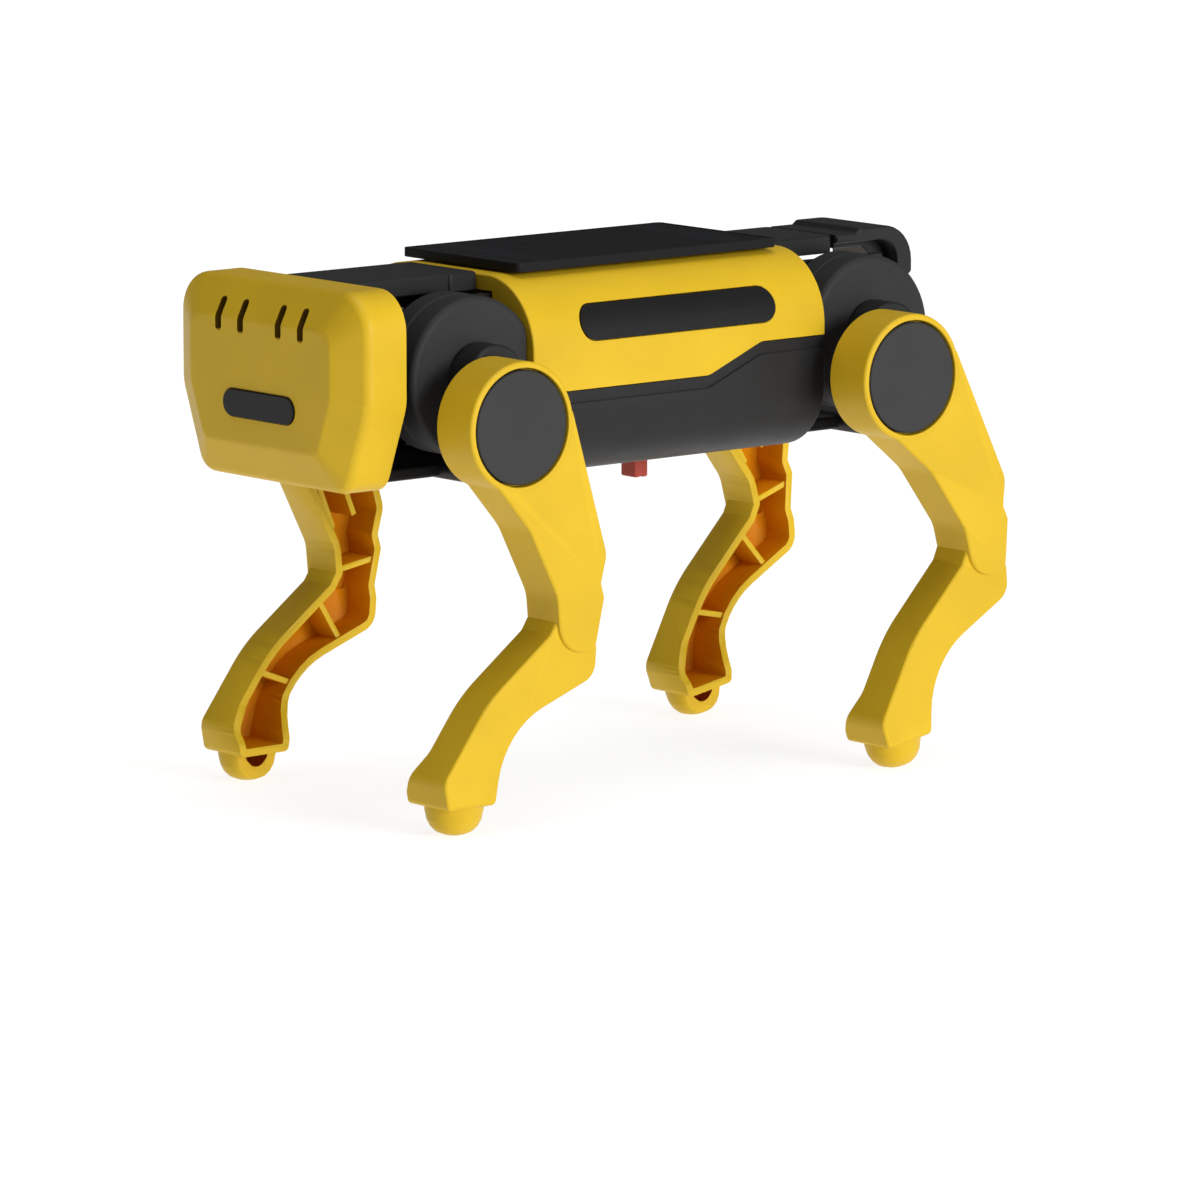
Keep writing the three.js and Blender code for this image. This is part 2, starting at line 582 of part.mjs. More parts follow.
// A band just outside the shell, cut to the badge's pill outline, for the badge and its seat.
function sideBadge(side, grow, inner, outer) {
  const half = BADGE.length / 2 - BADGE.height / 2;
  const pill = obround(BADGE.height / 2 + grow, [BADGE.x - half, BADGE.z], [BADGE.x + half, BADGE.z]);
  const skin = cut(bodyTube(-outer, SHELL_X), bodyTube(inner, [SHELL_X[0] - 1, SHELL_X[1] + 1]));
  return skin.intersect(prism(pill, 'y', span(side, 5, 25)));
}

const WIRE_X = BODY_X + 3;
const wireHole = rod(1.2, 'z', [68, 80], [WIRE_X, 0]);
const upperShell = cut(
  hollowBody.intersect(aboveParting),
  wireHole,
  ...Object.values(SIDES).map((side) => sideBadge(side, GAP, BADGE.depth + GAP, 1)),
);
place('upper_shell', upperShell, 'yellow');
for (const [sideName, side] of Object.entries(SIDES)) {
  place(`side_badge_${sideName}`, sideBadge(side, 0, BADGE.depth, 0.15), 'badge');
}

const switchSlot = box(
  [SWITCH.x - SWITCH.knob[0] / 2 - GAP, SWITCH.x + SWITCH.knob[0] / 2 + SWITCH.travel + GAP],
  [SWITCH.y - SWITCH.knob[1] / 2 - GAP, SWITCH.y + SWITCH.knob[1] / 2 + GAP],
  [BELLY_BOTTOM_Z - 1, BELLY_BOTTOM_Z + WALL + 1],
);
place('belly_shell', cut(hollowBody.intersect(belowParting), switchSlot), 'black');

// ---- Switch: a box inside the belly, and a red knob that slides along X ----

const SWITCH_Z = BELLY_BOTTOM_Z + WALL + GAP;
const knobX = [SWITCH.x - SWITCH.knob[0] / 2, SWITCH.x + SWITCH.knob[0] / 2];
const knobY = [SWITCH.y - SWITCH.knob[1] / 2, SWITCH.y + SWITCH.knob[1] / 2];
const switchBody = cut(
  box([SWITCH.x - 4, SWITCH.x + 6], [SWITCH.y - 2.6, SWITCH.y + 2.6], [SWITCH_Z, SWITCH_Z + 4.2]),
  box(
    [knobX[0] - GAP, knobX[1] + SWITCH.travel + GAP],
    [knobY[0] - GAP, knobY[1] + GAP],
    [SWITCH_Z - 1, SWITCH_Z + 2.4],
  ),
);
place('switch_body', switchBody, 'steel');
place('switch_knob', box(knobX, knobY, [BELLY_BOTTOM_Z - 3.7, SWITCH_Z + 2]), 'red');

// ---- Solar panel ----

const panelX = [PANEL.x - PANEL.length / 2, PANEL.x + PANEL.length / 2];
const panelY = [-PANEL.width / 2, PANEL.width / 2];
const cellInset = ([low, high]) => [low + 0.9, high - 0.9];
const recess = ([low, high]) => [low + 0.6, high - 0.6];
const tray = cut(
  prism(rounded(rectangle(panelX, panelY, 0.8), 2), 'z', [PANEL.bottomZ, PANEL.topZ]),
  box(recess(panelX), recess(panelY), [PANEL.topZ - 0.7, PANEL.topZ + 1]),
  wireHole,
);
place('solar_panel_tray', tray, 'black');
place('solar_cell', box(cellInset(panelX), cellInset(panelY), [PANEL.topZ - 0.4, PANEL.topZ - 0.05]), 'cell');

// The two wires from the panel to the motor, side by side down inside the shell.
function wire(offset, endX, endY) {
  const path = new THREE.CatmullRomCurve3([
    [WIRE_X, offset, PANEL.topZ - 1.2], [WIRE_X, offset, 69.5], [WIRE_X + 3, offset, 65.2],
    [14, 3 * offset, 64], [endX, endY, 60.6],
  ].map((point) => new THREE.Vector3(...point)));
  const section = new THREE.Shape(circle(0.4, [0, 0], 6).map(([a, b]) => new THREE.Vector2(a, b)));
  return solid(new THREE.ExtrudeGeometry(section, { steps: 16, bevelEnabled: false, extrudePath: path }));
}
place('wire_positive', wire(0.6, 21.3, 2.6), 'red');
place('wire_negative', wire(-0.6, 21.3, -2.6), 'black');

// ---- Top covers and tail ----

const COVER_Z = [PLATE_TOP_Z + GAP, 72.6];
const COVER_HALF_WIDTH = 7;
const TAB = { length: 4.9, proud: 0.3 };
const DECK_REAR_X = -41;
const coverY = [-COVER_HALF_WIDTH, COVER_HALF_WIDTH];
const coverHollow = [-COVER_HALF_WIDTH + WALL, COVER_HALF_WIDTH - WALL];
const coverFrontX = SHELL_X[1] + GAP;
const coverRearX = SHELL_X[0] - GAP;

const tabY = [coverY[0] - TAB.proud, coverY[1] + TAB.proud];
const frontCover = cut(
  join(box([coverFrontX, 46.2], coverY, COVER_Z), box([coverFrontX, coverFrontX + TAB.length], tabY, COVER_Z)),
  box([coverFrontX + WALL, 45], coverHollow, [COVER_Z[0] - 1, COVER_Z[1] - WALL]),
);
place('front_top_cover', frontCover, 'black');

const deckOutline = [
  [DECK_REAR_X, coverY[0], 1.2], [coverRearX, coverY[0]],
  [coverRearX, coverY[1]], [DECK_REAR_X, coverY[1], 1.2],
];
const deck = cut(
  prism(rounded(deckOutline), 'z', COVER_Z),
  box([DECK_REAR_X + WALL, coverRearX - WALL], coverHollow, [COVER_Z[0] - 1, COVER_Z[1] - WALL]),
);
place('rear_deck', deck, 'black');

const HOOD = { topZ: 73.2, rearX: -55.8, bottomZ: 66, thick: 2.8, plateZ: 71.3 };
const hoodFrontX = DECK_REAR_X - GAP;
const hoodWallX = HOOD.rearX + HOOD.thick;
const hoodOutline = [
  [hoodFrontX, HOOD.plateZ], [hoodFrontX, COVER_Z[1]], [-45.3, COVER_Z[1]], [-46.1, HOOD.topZ],
  [HOOD.rearX, HOOD.topZ, 5], [HOOD.rearX, HOOD.bottomZ, 0.6], [hoodWallX, HOOD.bottomZ, 0.6],
  [hoodWallX, HOOD.plateZ, 3],
];
const ribOutline = [[-43.5, 70.2], [-49, 70.2], [-52.7, 67], [-53.4, 67], [-53.4, 72.1], [-43.5, 72.1]];
const hoodRib = prism(ribOutline, 'y', [-4, 4]);
place('tail_hood', join(prism(rounded(hoodOutline, 5), 'y', coverY), hoodRib), 'black');

// ---- Lower guide bars: each carries the two pins that its legs' slots slide on ----

const BAR_Z = [45.6, 47.4];
const GUIDE_Z = 46.5;
const GUIDE_PIN_R = 1.3;
const GUIDE_PIN_Y = LEG_UPPER_INNER_Y - 0.6;

function guidePin(hip) {
  const [hubX, hubZ] = hip.hub.left;
  return [hubX - (hubZ - GUIDE_Z) * Math.tan(rad(SLOT_LEAN + hip.turn)), GUIDE_Z];
}

function guideBar(hip, barX, postX) {
  const postEnds = [postX - 1, postX + 1];
  return join(
    box(barX, [-9.6, 9.6], BAR_Z),
    rod(GUIDE_PIN_R, 'y', [-GUIDE_PIN_Y, GUIDE_PIN_Y], guidePin(hip)),
    ...Object.values(SIDES).map((side) => box(postEnds, span(side, 6.5, 9.6), [BAR_Z[1] - 0.2, 48.6])),
  );
}
place('front_guide_bar', guideBar(hips.front, [24.4, 45.8], 26), 'black');
place('rear_guide_bar', guideBar(hips.rear, [-48, -29.6], -30.6), 'black');

// ---- Head: a hollow bevelled shell with vents, on a bracket ----

const HEAD_CORNERS = [
  [-15.8, 45.6], [15.8, 45.6], [20.3, 57.5], [20.3, 72.8], [-20.3, 72.8], [-20.3, 57.5],
];
const HEAD_ROUNDS = [3, 3, 6, 5.5, 5.5, 6];
const HEAD_WALL = 1.4;

function headOutline(shrink, roundness = 1) {
  const corners = inset(HEAD_CORNERS, shrink);
  return rounded(corners.map(([y, z], i) => [y, z, HEAD_ROUNDS[i] * roundness]), 3);
}

function ventSlot(y) {
  return prism(rounded(rectangle([y - 0.5, y + 0.5], [65.6, 70.2], 0.45), 2), 'x', [50, 60]);
}

const headOutside = loft([
  { x: HEAD_X[0], points: headOutline(0) },
  { x: HEAD_X[1], points: headOutline(0) },
  { x: HEAD_X[1] + 1, points: headOutline(0.7, 0.95) },
  { x: HEAD_X[2], points: headOutline(5.2, 0.45) },
]);
const headInside = loft([
  { x: HEAD_X[0] - 1, points: headOutline(HEAD_WALL, 0.8) },
  { x: HEAD_X[1] - 0.4, points: headOutline(HEAD_WALL, 0.8) },
  { x: HEAD_X[2] - HEAD_WALL, points: headOutline(5.6, 0.4) },
]);
const HEAD_BADGE = { length: 15.3, height: 3.7, z: 56.2, depth: 0.4 };
const badgeHalf = (HEAD_BADGE.length - HEAD_BADGE.height) / 2;
function headBadge(grow, ends) {
  const pill = obround(HEAD_BADGE.height / 2 + grow, [-badgeHalf, HEAD_BADGE.z], [badgeHalf, HEAD_BADGE.z]);
  return prism(pill, 'x', ends);
}
const headShell = cut(
  headOutside,
  headInside,
  ...[-8.9, -4.1, 4.1, 8.9].map(ventSlot),
  headBadge(GAP, [HEAD_X[2] - HEAD_BADGE.depth - GAP, HEAD_X[2] + 1]),
);
place('head_shell', headShell, 'yellow');
place('head_badge', headBadge(0, [HEAD_X[2] - HEAD_BADGE.depth, HEAD_X[2] + 0.15]), 'badge');

const bracketRim = cut(
  prism(headOutline(HEAD_WALL + GAP, 0.8), 'x', [HEAD_X[0] - 0.2, HEAD_X[0] + 2.6]),
  prism(headOutline(HEAD_WALL + GAP + WALL, 0.6), 'x', [HEAD_X[0] - 1, HEAD_X[0] + 3]),
);
const bracketWeb = cut(
  box([44.6, 46.2], [-11.5, 11.5], [48.4, 69.4]),
  box([44, 47], [-7, 7], [53.5, 65]),
);
const bracketArms = join(
  box([45, 47.6], [-18, 18], [57.4, 60.6]),
  box([45, 47.6], [-3, 3], [47.8, 49.6]),
);
place('head_bracket', join(bracketWeb, bracketArms, bracketRim), 'black');

robotDog.position.x = STANCE_X;

export default robotDog;
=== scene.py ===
"""Looks of the solar walking robot dog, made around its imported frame.

Sizes in this script are millimetres unless a name says otherwise; objects are built in metres.
Outlines are (X, Z) along y, (Y, Z) along x and (X, Y) along z, as corners [a, b, radius].
"""
import json
import math

import bmesh
import bpy
from mathutils import Matrix, Vector
from mathutils.bvhtree import BVHTree


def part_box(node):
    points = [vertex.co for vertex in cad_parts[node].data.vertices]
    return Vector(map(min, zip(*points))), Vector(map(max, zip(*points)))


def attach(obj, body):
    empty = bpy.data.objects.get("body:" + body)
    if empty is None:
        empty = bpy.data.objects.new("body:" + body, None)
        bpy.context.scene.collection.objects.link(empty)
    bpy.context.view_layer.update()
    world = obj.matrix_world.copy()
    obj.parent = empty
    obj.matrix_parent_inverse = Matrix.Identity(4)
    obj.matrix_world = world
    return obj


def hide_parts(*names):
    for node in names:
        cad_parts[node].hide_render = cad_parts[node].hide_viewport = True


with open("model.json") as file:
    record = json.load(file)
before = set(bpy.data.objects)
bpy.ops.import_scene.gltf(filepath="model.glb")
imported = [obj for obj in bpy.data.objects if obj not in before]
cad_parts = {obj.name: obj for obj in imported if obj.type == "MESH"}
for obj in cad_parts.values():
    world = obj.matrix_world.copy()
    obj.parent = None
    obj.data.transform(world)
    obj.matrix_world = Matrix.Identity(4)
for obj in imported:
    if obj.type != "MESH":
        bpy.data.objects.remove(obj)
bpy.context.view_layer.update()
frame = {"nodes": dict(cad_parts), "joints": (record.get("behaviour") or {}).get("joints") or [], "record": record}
NODES = frame["nodes"]
JOINTS = {joint["name"]: joint for joint in frame["joints"]}
MM = 0.001


# ---- Places and sizes, from the frame where it has them ----

def span_of(node):
    """The lowest and highest corners of a CAD node, in millimetres."""
    low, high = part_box(node)
    return Vector(low) / MM, Vector(high) / MM


def joint_place(name):
    return Vector(JOINTS[name]["pos_m"]) / MM


SIDES = {"left": 1, "right": -1}
ENDS = ("front", "rear")
WALL = 1.2
GAP = 0.3
HUB = {(end, side): joint_place(f"leg_{end}_{side}_pivot") for end in ENDS for side in SIDES}
AXLE = {end: joint_place(f"{end}_axle_spin") for end in ENDS}
BODY_X = joint_place("centre_shaft_spin").x
LEG_TURN = {"front": 0.0, "rear": 10.0}
OUTER_Y = span_of("leg_front_left")[1].y
LEG_INNER_Y = span_of("leg_front_left")[0].y
LEG_UPPER_INNER_Y = 23.2


# ---- Outlines ----

def rounded(corners, steps=8):
    """Corners [a, b, radius] as a list of points, each radius drawn as an arc."""
    points = []
    for i, corner in enumerate(corners):
        here = Vector(corner[:2])
        radius = corner[2] if len(corner) > 2 else 0
        if radius == 0:
            points.append(here)
            continue
        before = (Vector(corners[i - 1][:2]) - here).normalized()
        after = (Vector(corners[(i + 1) % len(corners)][:2]) - here).normalized()
        half = before.angle(after) / 2
        centre = here + (before + after).normalized() * radius / math.sin(half)
        start = here + before * radius / math.tan(half) - centre
        finish = here + after * radius / math.tan(half) - centre
        sweep = math.copysign(math.pi - 2 * half, start.x * finish.y - start.y * finish.x)
        for k in range(steps + 1):
            points.append(centre + Matrix.Rotation(sweep * k / steps, 2) @ start)
    return points


def signed_area(points):
    return sum(a[0] * b[1] - b[0] * a[1] for a, b in zip(points, points[1:] + points[:1])) / 2


def inset(corners, distance):
    """Corners moved inwards by a distance; the radii shrink or grow with them."""
    turn = math.copysign(1, signed_area(corners))
    moved = []
    for i, corner in enumerate(corners):
        here = Vector(corner[:2])
        into = (here - Vector(corners[i - 1][:2])).normalized()
        away = (Vector(corners[(i + 1) % len(corners)][:2]) - here).normalized()
        normal_in = Vector((-into.y, into.x)) * turn
        normal_away = Vector((-away.y, away.x)) * turn
        bisector = (normal_in + normal_away).normalized()
        place = here + bisector * distance / max(bisector.dot(normal_in), 0.2)
        bend = math.copysign(1, into.x * away.y - into.y * away.x) * turn
        radius = corner[2] if len(corner) > 2 else 0
        moved.append([place.x, place.y, max(radius - bend * distance, 0.3) if radius else 0])
    return moved


def circle(radius, centre=(0, 0), steps=64):
    turn = 2 * math.pi / steps
    angles = [turn * i for i in range(steps)]
    return [Vector(centre) + Vector((radius * math.cos(a), radius * math.sin(a))) for a in angles]


def pill(radius, start, end, steps=16):
    """Two half circles joined by straight sides, from one centre to the other."""
    start, end = Vector(start), Vector(end)
    lean = math.atan2(end.y - start.y, end.x - start.x)
    points = []
    for centre, first in ((end, lean - math.pi / 2), (start, lean + math.pi / 2)):
        for k in range(steps + 1):
            angle = first + math.pi * k / steps
            points.append(centre + radius * Vector((math.cos(angle), math.sin(angle))))
    return points


def rectangle(a, b, radius=0):
    return [[a[0], b[0], radius], [a[1], b[0], radius], [a[1], b[1], radius], [a[0], b[1], radius]]


def shrunk(points, distance):
    """A fine outline moved inwards along its own normals, for a small edge rounding."""
    if distance == 0:
        return points
    turn = math.copysign(1, signed_area(points))
    moved = []
    for i, here in enumerate(points):
        into = (here - points[i - 1]).normalized()
        away = (points[(i + 1) % len(points)] - here).normalized()
        normal_in = Vector((-into.y, into.x)) * turn
        normal_away = Vector((-away.y, away.x)) * turn
        bisector = (normal_in + normal_away).normalized()
        moved.append(here + bisector * distance / max(bisector.dot(normal_in), 0.4))
    return moved


# ---- Solids ----

AXES = {
    "x": lambda a, b, t: (t, a, b),
    "y": lambda a, b, t: (a, t, b),
    "z": lambda a, b, t: (a, b, t),
}


def make_object(name, vertices, faces):
    mesh = bpy.data.meshes.new(name)
    mesh.from_pydata([Vector(v) * MM for v in vertices], [], faces)
    work = bmesh.new()
    work.from_mesh(mesh)
    bmesh.ops.remove_doubles(work, verts=work.verts, dist=1e-7)
    bmesh.ops.recalc_face_normals(work, faces=work.faces)
    work.to_mesh(mesh)
    work.free()
    piece = bpy.data.objects.new(name, mesh)
    bpy.context.scene.collection.objects.link(piece)
    return piece


def layered(name, layers, axis):
    """Outlines of equal point count, joined one after another: (outline, place along the axis)."""
    count = len(layers[0][0])
    vertices = [AXES[axis](p[0], p[1], place) for outline, place in layers for p in outline]
    faces = [list(range(count)), list(range((len(layers) - 1) * count, len(layers) * count))]
    for level in range(len(layers) - 1):
        for i in range(count):
            j = (i + 1) % count
            base = level * count
            faces.append([base + i, base + j, base + count + j, base + count + i])
    return make_object(name, vertices, faces)


def prism(name, outline, axis, ends, round_low=0.0, round_high=0.0, steps=3):
    """An outline pushed along an axis, with its end edges rounded."""
    low, high = min(ends), max(ends)
    turns = [math.pi / 2 * k / steps for k in range(steps + 1)]
    layers = []
    if round_low:
        layers += [(shrunk(outline, round_low * (1 - math.sin(t))), low + round_low * (1 - math.cos(t)))
                   for t in turns]
    else:
        layers.append((outline, low))
    if round_high:
        layers += [(shrunk(outline, round_high * (1 - math.cos(t))), high - round_high * (1 - math.sin(t)))
                   for t in turns]
    else:
        layers.append((outline, high))
    return layered(name, layers, axis)


def turned(name, profile, centre=(0, 0), axis="y", steps=72):
    """A closed profile of corners [radius, place, rounding] turned about a line along the axis."""
    points = rounded(profile, 4)
    count = len(points)
    vertices = []
    for i in range(steps):
        angle = 2 * math.pi * i / steps
        for radius, place in points:
            a, b = centre[0] + radius * math.cos(angle), centre[1] + radius * math.sin(angle)
            vertices.append(AXES[axis](a, b, place))
    faces = []
    for i in range(steps):
        for k in range(count):
            m, j = (k + 1) % count, (i + 1) % steps
            faces.append([i * count + k, i * count + m, j * count + m, j * count + k])
    return make_object(name, vertices, faces)


def rod(name, radius, axis, ends, centre=(0, 0), rounding=0.0, steps=40):
    return prism(name, circle(radius, centre, steps), axis, ends, rounding, rounding)


def block(name, x, y, z, rounding=0.0, corner=0.0):
    return prism(name, rounded(rectangle(x, y, corner), 4), "z", z, rounding, rounding)


def apply_modifiers(piece):
    depsgraph = bpy.context.evaluated_depsgraph_get()
    mesh = bpy.data.meshes.new_from_object(piece.evaluated_get(depsgraph))
    piece.modifiers.clear()
    piece.data = mesh


def combine(operation, target, *tools):
    """The target joined with, cut by or kept inside each tool. The tools are used up, and looks cleared."""
    for tool in tools:
        change = target.modifiers.new(operation, "BOOLEAN")
        change.operation = operation
        change.solver = "MANIFOLD"
        change.object = tool
        apply_modifiers(target)
        target.data.materials.clear()
        bpy.data.objects.remove(tool)
    return target


def join(target, *tools):
    return combine("UNION", target, *tools)


def cut(target, *tools):
    return combine("DIFFERENCE", target, *tools)


def keep_inside(target, *tools):
    return combine("INTERSECT", target, *tools)


def dissolve_flats(piece):
    work = bmesh.new()
    work.from_mesh(piece.data)
    bmesh.ops.remove_doubles(work, verts=work.verts, dist=2e-6)
    bmesh.ops.dissolve_limit(
        work, angle_limit=math.radians(0.4), verts=work.verts, edges=work.edges,
        use_dissolve_boundaries=False)
    work.to_mesh(piece.data)
    work.free()


def finish_edges(piece, width=0.0, sharp=32.0, segments=2):
    """Rounds the edges sharper than an angle, and shades the rest smooth."""
    dissolve_flats(piece)
    if width:
        bevel = piece.modifiers.new("edges", "BEVEL")
        bevel.width = width * MM
        bevel.segments = segments
        bevel.limit_method = "ANGLE"
        bevel.angle_limit = math.radians(sharp)
        bevel.use_clamp_overlap = True
        bevel.miter_outer = "MITER_ARC"
        apply_modifiers(piece)
    piece.data.shade_smooth()
    piece.data.set_sharp_from_angle(angle=math.radians(sharp))
    weighted = piece.modifiers.new("normals", "WEIGHTED_NORMAL")
    weighted.keep_sharp = True
    apply_modifiers(piece)
    return piece


def mirrored(piece, name):
    copy = bpy.data.objects.new(name, piece.data.copy())
    bpy.context.scene.collection.objects.link(copy)
    copy.data.transform(Matrix.Scale(-1, 4, (0, 1, 0)))
    copy.data.flip_normals()
    return copy


def moved(piece, name, offset, turn_y=0.0):
    """A copy of a piece, turned about Y at the origin and then moved, in millimetres."""
    copy = bpy.data.objects.new(name, piece.data.copy())
    bpy.context.scene.collection.objects.link(copy)
    turn = Matrix.Rotation(math.radians(turn_y), 4, "Y")
    copy.data.transform(Matrix.Translation(Vector(offset) * MM) @ turn)
    return copy


# ---- Materials ----

MASK_OFF, MASK_ON = (0, 0, 0, 1), (1, 1, 1, 1)
CELL_STRIP = 5.5


def linear(hex_colour):
    channels = [int(hex_colour[i:i + 2], 16) / 255 for i in (0, 2, 4)]
    return [c / 12.92 if c <= 0.04045 else ((c + 0.055) / 1.055) ** 2.4 for c in channels] + [1.0]


class Shader:
    """A Principled material with helpers for its colour, wear, roughness and bump."""

    def __init__(self, name, **constants):
        self.material = bpy.data.materials.new(name)
        self.material.use_nodes = True
        self.tree = self.material.node_tree
        self.principled = self.tree.nodes["Principled BSDF"]
        self.place = self.tree.nodes.new("ShaderNodeTexCoord").outputs["Object"]
        for socket, value in constants.items():
            self.principled.inputs[socket.replace("_", " ")].default_value = value

    def noise(self, size_mm, detail=3.0, stretch=(1, 1, 1)):
        mapping = self.tree.nodes.new("ShaderNodeMapping")
        mapping.inputs["Scale"].default_value = [s / (size_mm * MM) for s in stretch]
        self.tree.links.new(self.place, mapping.inputs["Vector"])
        node = self.tree.nodes.new("ShaderNodeTexNoise")
        node.inputs["Scale"].default_value = 1.0
        node.inputs["Detail"].default_value = detail
        self.tree.links.new(mapping.outputs["Vector"], node.inputs["Vector"])
        return node.outputs["Fac"]

    def ramp(self, value, low, high, dark, light):
        node = self.tree.nodes.new("ShaderNodeValToRGB")
        node.color_ramp.elements[0].position = low
        node.color_ramp.elements[1].position = high
        node.color_ramp.elements[0].color = dark
        node.color_ramp.elements[1].color = light
        self.tree.links.new(value, node.inputs["Fac"])
        return node.outputs["Color"]

    def mix(self, factor, first, second):
        """A linked colour mixed with a constant one."""
        node = self.tree.nodes.new("ShaderNodeMix")
        node.data_type = "RGBA"
        self.tree.links.new(factor, node.inputs["Factor"])
        self.tree.links.new(first, node.inputs[6])
        node.inputs[7].default_value = second
        return node.outputs[2]

    def edges(self):
        geometry = self.tree.nodes.new("ShaderNodeNewGeometry")
        return self.ramp(geometry.outputs["Pointiness"], 0.52, 0.60, MASK_OFF, MASK_ON)

    def scaled(self, value, amount):
        node = self.tree.nodes.new("ShaderNodeMath")
        node.operation = "MULTIPLY"
        node.inputs[1].default_value = amount
        self.tree.links.new(value, node.inputs[0])
        return node.outputs["Value"]

    def colour(self, value):
        self.tree.links.new(value, self.principled.inputs["Base Color"])

    def roughness(self, value, low, high):
        node = self.tree.nodes.new("ShaderNodeMapRange")
        node.inputs["To Min"].default_value = low
        node.inputs["To Max"].default_value = high
        self.tree.links.new(value, node.inputs["Value"])
        self.tree.links.new(node.outputs["Result"], self.principled.inputs["Roughness"])

    def bump(self, value, height_mm, strength=0.5):
        node = self.tree.nodes.new("ShaderNodeBump")
        node.inputs["Strength"].default_value = strength
        node.inputs["Distance"].default_value = height_mm * MM
        self.tree.links.new(value, node.inputs["Height"])
        self.tree.links.new(node.outputs["Normal"], self.principled.inputs["Normal"])


def shade(colour, factor):
    return [min(c * factor, 1.0) for c in colour[:3]] + [1.0]


def plastic(name, hex_colour, rough, mottle=0.05, wear=0.25, grain_mm=0.35, height_mm=0.01, **constants):
    """Moulded plastic: faint flow mottling, paler worn edges, fine grain, uneven gloss."""
    look = Shader(name, **constants)
    base = linear(hex_colour)
    flow = look.ramp(look.noise(9.0), 0.35, 0.65, shade(base, 1 - mottle), shade(base, 1 + mottle))
    rubbed = look.scaled(look.edges(), wear)
    look.colour(look.mix(rubbed, flow, shade(base, 1.35)))
    look.roughness(look.noise(5.0, 4.0), rough - 0.05, rough + 0.06)
    look.bump(look.noise(grain_mm, 2.0), height_mm, 0.35)
    return look.material


def metal(name, hex_colour, rough):
    """Turned or drawn metal: fine lines along one way, duller in patches."""
    look = Shader(name, Metallic=1.0)
    base = linear(hex_colour)
    lines = look.noise(1.2, 2.0, (1, 12, 1))
    look.colour(look.ramp(lines, 0.3, 0.7, shade(base, 0.82), shade(base, 1.1)))
    look.roughness(look.noise(2.0), rough - 0.06, rough + 0.1)
    look.bump(lines, 0.004, 0.4)
    return look.material


def cell_material():
    """A dark solar cell under resin: near black, with very faint strips and a bluish mottling."""
    look = Shader("solar_cell_dark", Specular_IOR_Level=0.08)
    base = linear("0d0e10")
    mottled = look.ramp(look.noise(2.5, 4.0), 0.3, 0.7, shade(base, 0.85), linear("101216"))
    wave = look.tree.nodes.new("ShaderNodeTexWave")
    wave.wave_type = "BANDS"
    wave.bands_direction = "X"
    wave.inputs["Scale"].default_value = 1 / (20 * CELL_STRIP * MM)
    look.tree.links.new(look.place, wave.inputs["Vector"])
    strip = look.ramp(wave.outputs["Fac"], 0.985, 1.0, MASK_OFF, MASK_ON)
    look.colour(look.mix(look.scaled(strip, 0.25), mottled, linear("26282d")))
    look.roughness(look.noise(3.0), 0.42, 0.55)
    look.bump(look.noise(0.4, 2.0), 0.006, 0.3)
    return look.material


YELLOW = plastic("yellow_moulded", "cfaa22", 0.42, mottle=0.03, wear=0.18, Specular_IOR_Level=0.18)
# Painted bounced light and shade: a deeper, darker amber for the legs' hollows, standing in for light bounced
# between their walls.
YELLOW_PAINTED_BOUNCE_SHADE = plastic(
    "yellow_painted_bounce_shade", "cc7f00", 0.5, mottle=0.04, wear=0.06, Specular_IOR_Level=0.1)
BLACK = plastic(
    "black_moulded", "1e1e1f", 0.45, mottle=0.08, wear=0.35, grain_mm=0.3, height_mm=0.014,
    Specular_IOR_Level=0.22)
PANEL_BLACK = plastic("black_panel", "1b1b1d", 0.5, mottle=0.06, wear=0.3, Specular_IOR_Level=0.08)
GREY = plastic(
    "grey_cap", "363636", 0.6, mottle=0.04, wear=0.3, grain_mm=0.25, height_mm=0.012,
    Specular_IOR_Level=0.15)
DRUM_BLACK = plastic(
    "black_drum", "2b2b2c", 0.6, mottle=0.06, wear=0.35, grain_mm=0.25, height_mm=0.012,
    Specular_IOR_Level=0.2)
# Painted shade: a dark brown for the vent slots' walls, standing in for the shade inside the slots.
VENT_PAINTED_SHADE = plastic("vent_painted_shade", "5c430c", 0.6, mottle=0.05, wear=0.2, Specular_IOR_Level=0.1)
BADGE = plastic("badge_black", "171718", 0.4, mottle=0.05, wear=0.3, Specular_IOR_Level=0.2)
RED = plastic("red_knob", "9c3a2c", 0.4, mottle=0.05, wear=0.3, Specular_IOR_Level=0.3)
NYLON = plastic("gear_nylon", "cfccc2", 0.48, mottle=0.03, wear=0.2)
WIRE_RED = plastic("wire_red_sleeve", "a52a24", 0.4, mottle=0.05, wear=0.1)
WIRE_BLACK = plastic("wire_black_sleeve", "1a1a1b", 0.4, mottle=0.05, wear=0.1)
STEEL = metal("bright_steel", "b8babd", 0.3)
BRASS = metal("turned_brass", "c9a24b", 0.32)
CELL = cell_material()

SLOT_LOOKS = {
    "yellow_plastic": YELLOW, "black_plastic": BLACK, "grey_plastic": GREY, "badge_black": BADGE,
    "solar_cell": CELL, "steel": STEEL, "gear_plastic": NYLON, "brass": BRASS, "red_plastic": RED,
    "wire_red": WIRE_RED, "wire_black": WIRE_BLACK,
}
NODE_SLOTS = {part["node"]: part["material_slot"] for part in frame["record"]["subparts"]}
NODE_BODIES = {
    node: body for body, nodes in frame["record"]["behaviour"]["bodies"].items() for node in nodes
}
SETTLED = set()


def settle(piece, *nodes, material=None):
    """Gives a finished piece its look (the given one, else its slot's) and its body, and hides the CAD nodes that
    it stands for.
    """
    slot = NODE_SLOTS[nodes[0]]
    if not piece.data.materials:
        piece.data.materials.append(material or SLOT_LOOKS[slot])
    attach(piece, NODE_BODIES[nodes[0]])
    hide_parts(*nodes)
    SETTLED.update(nodes)


# ---- Legs ----

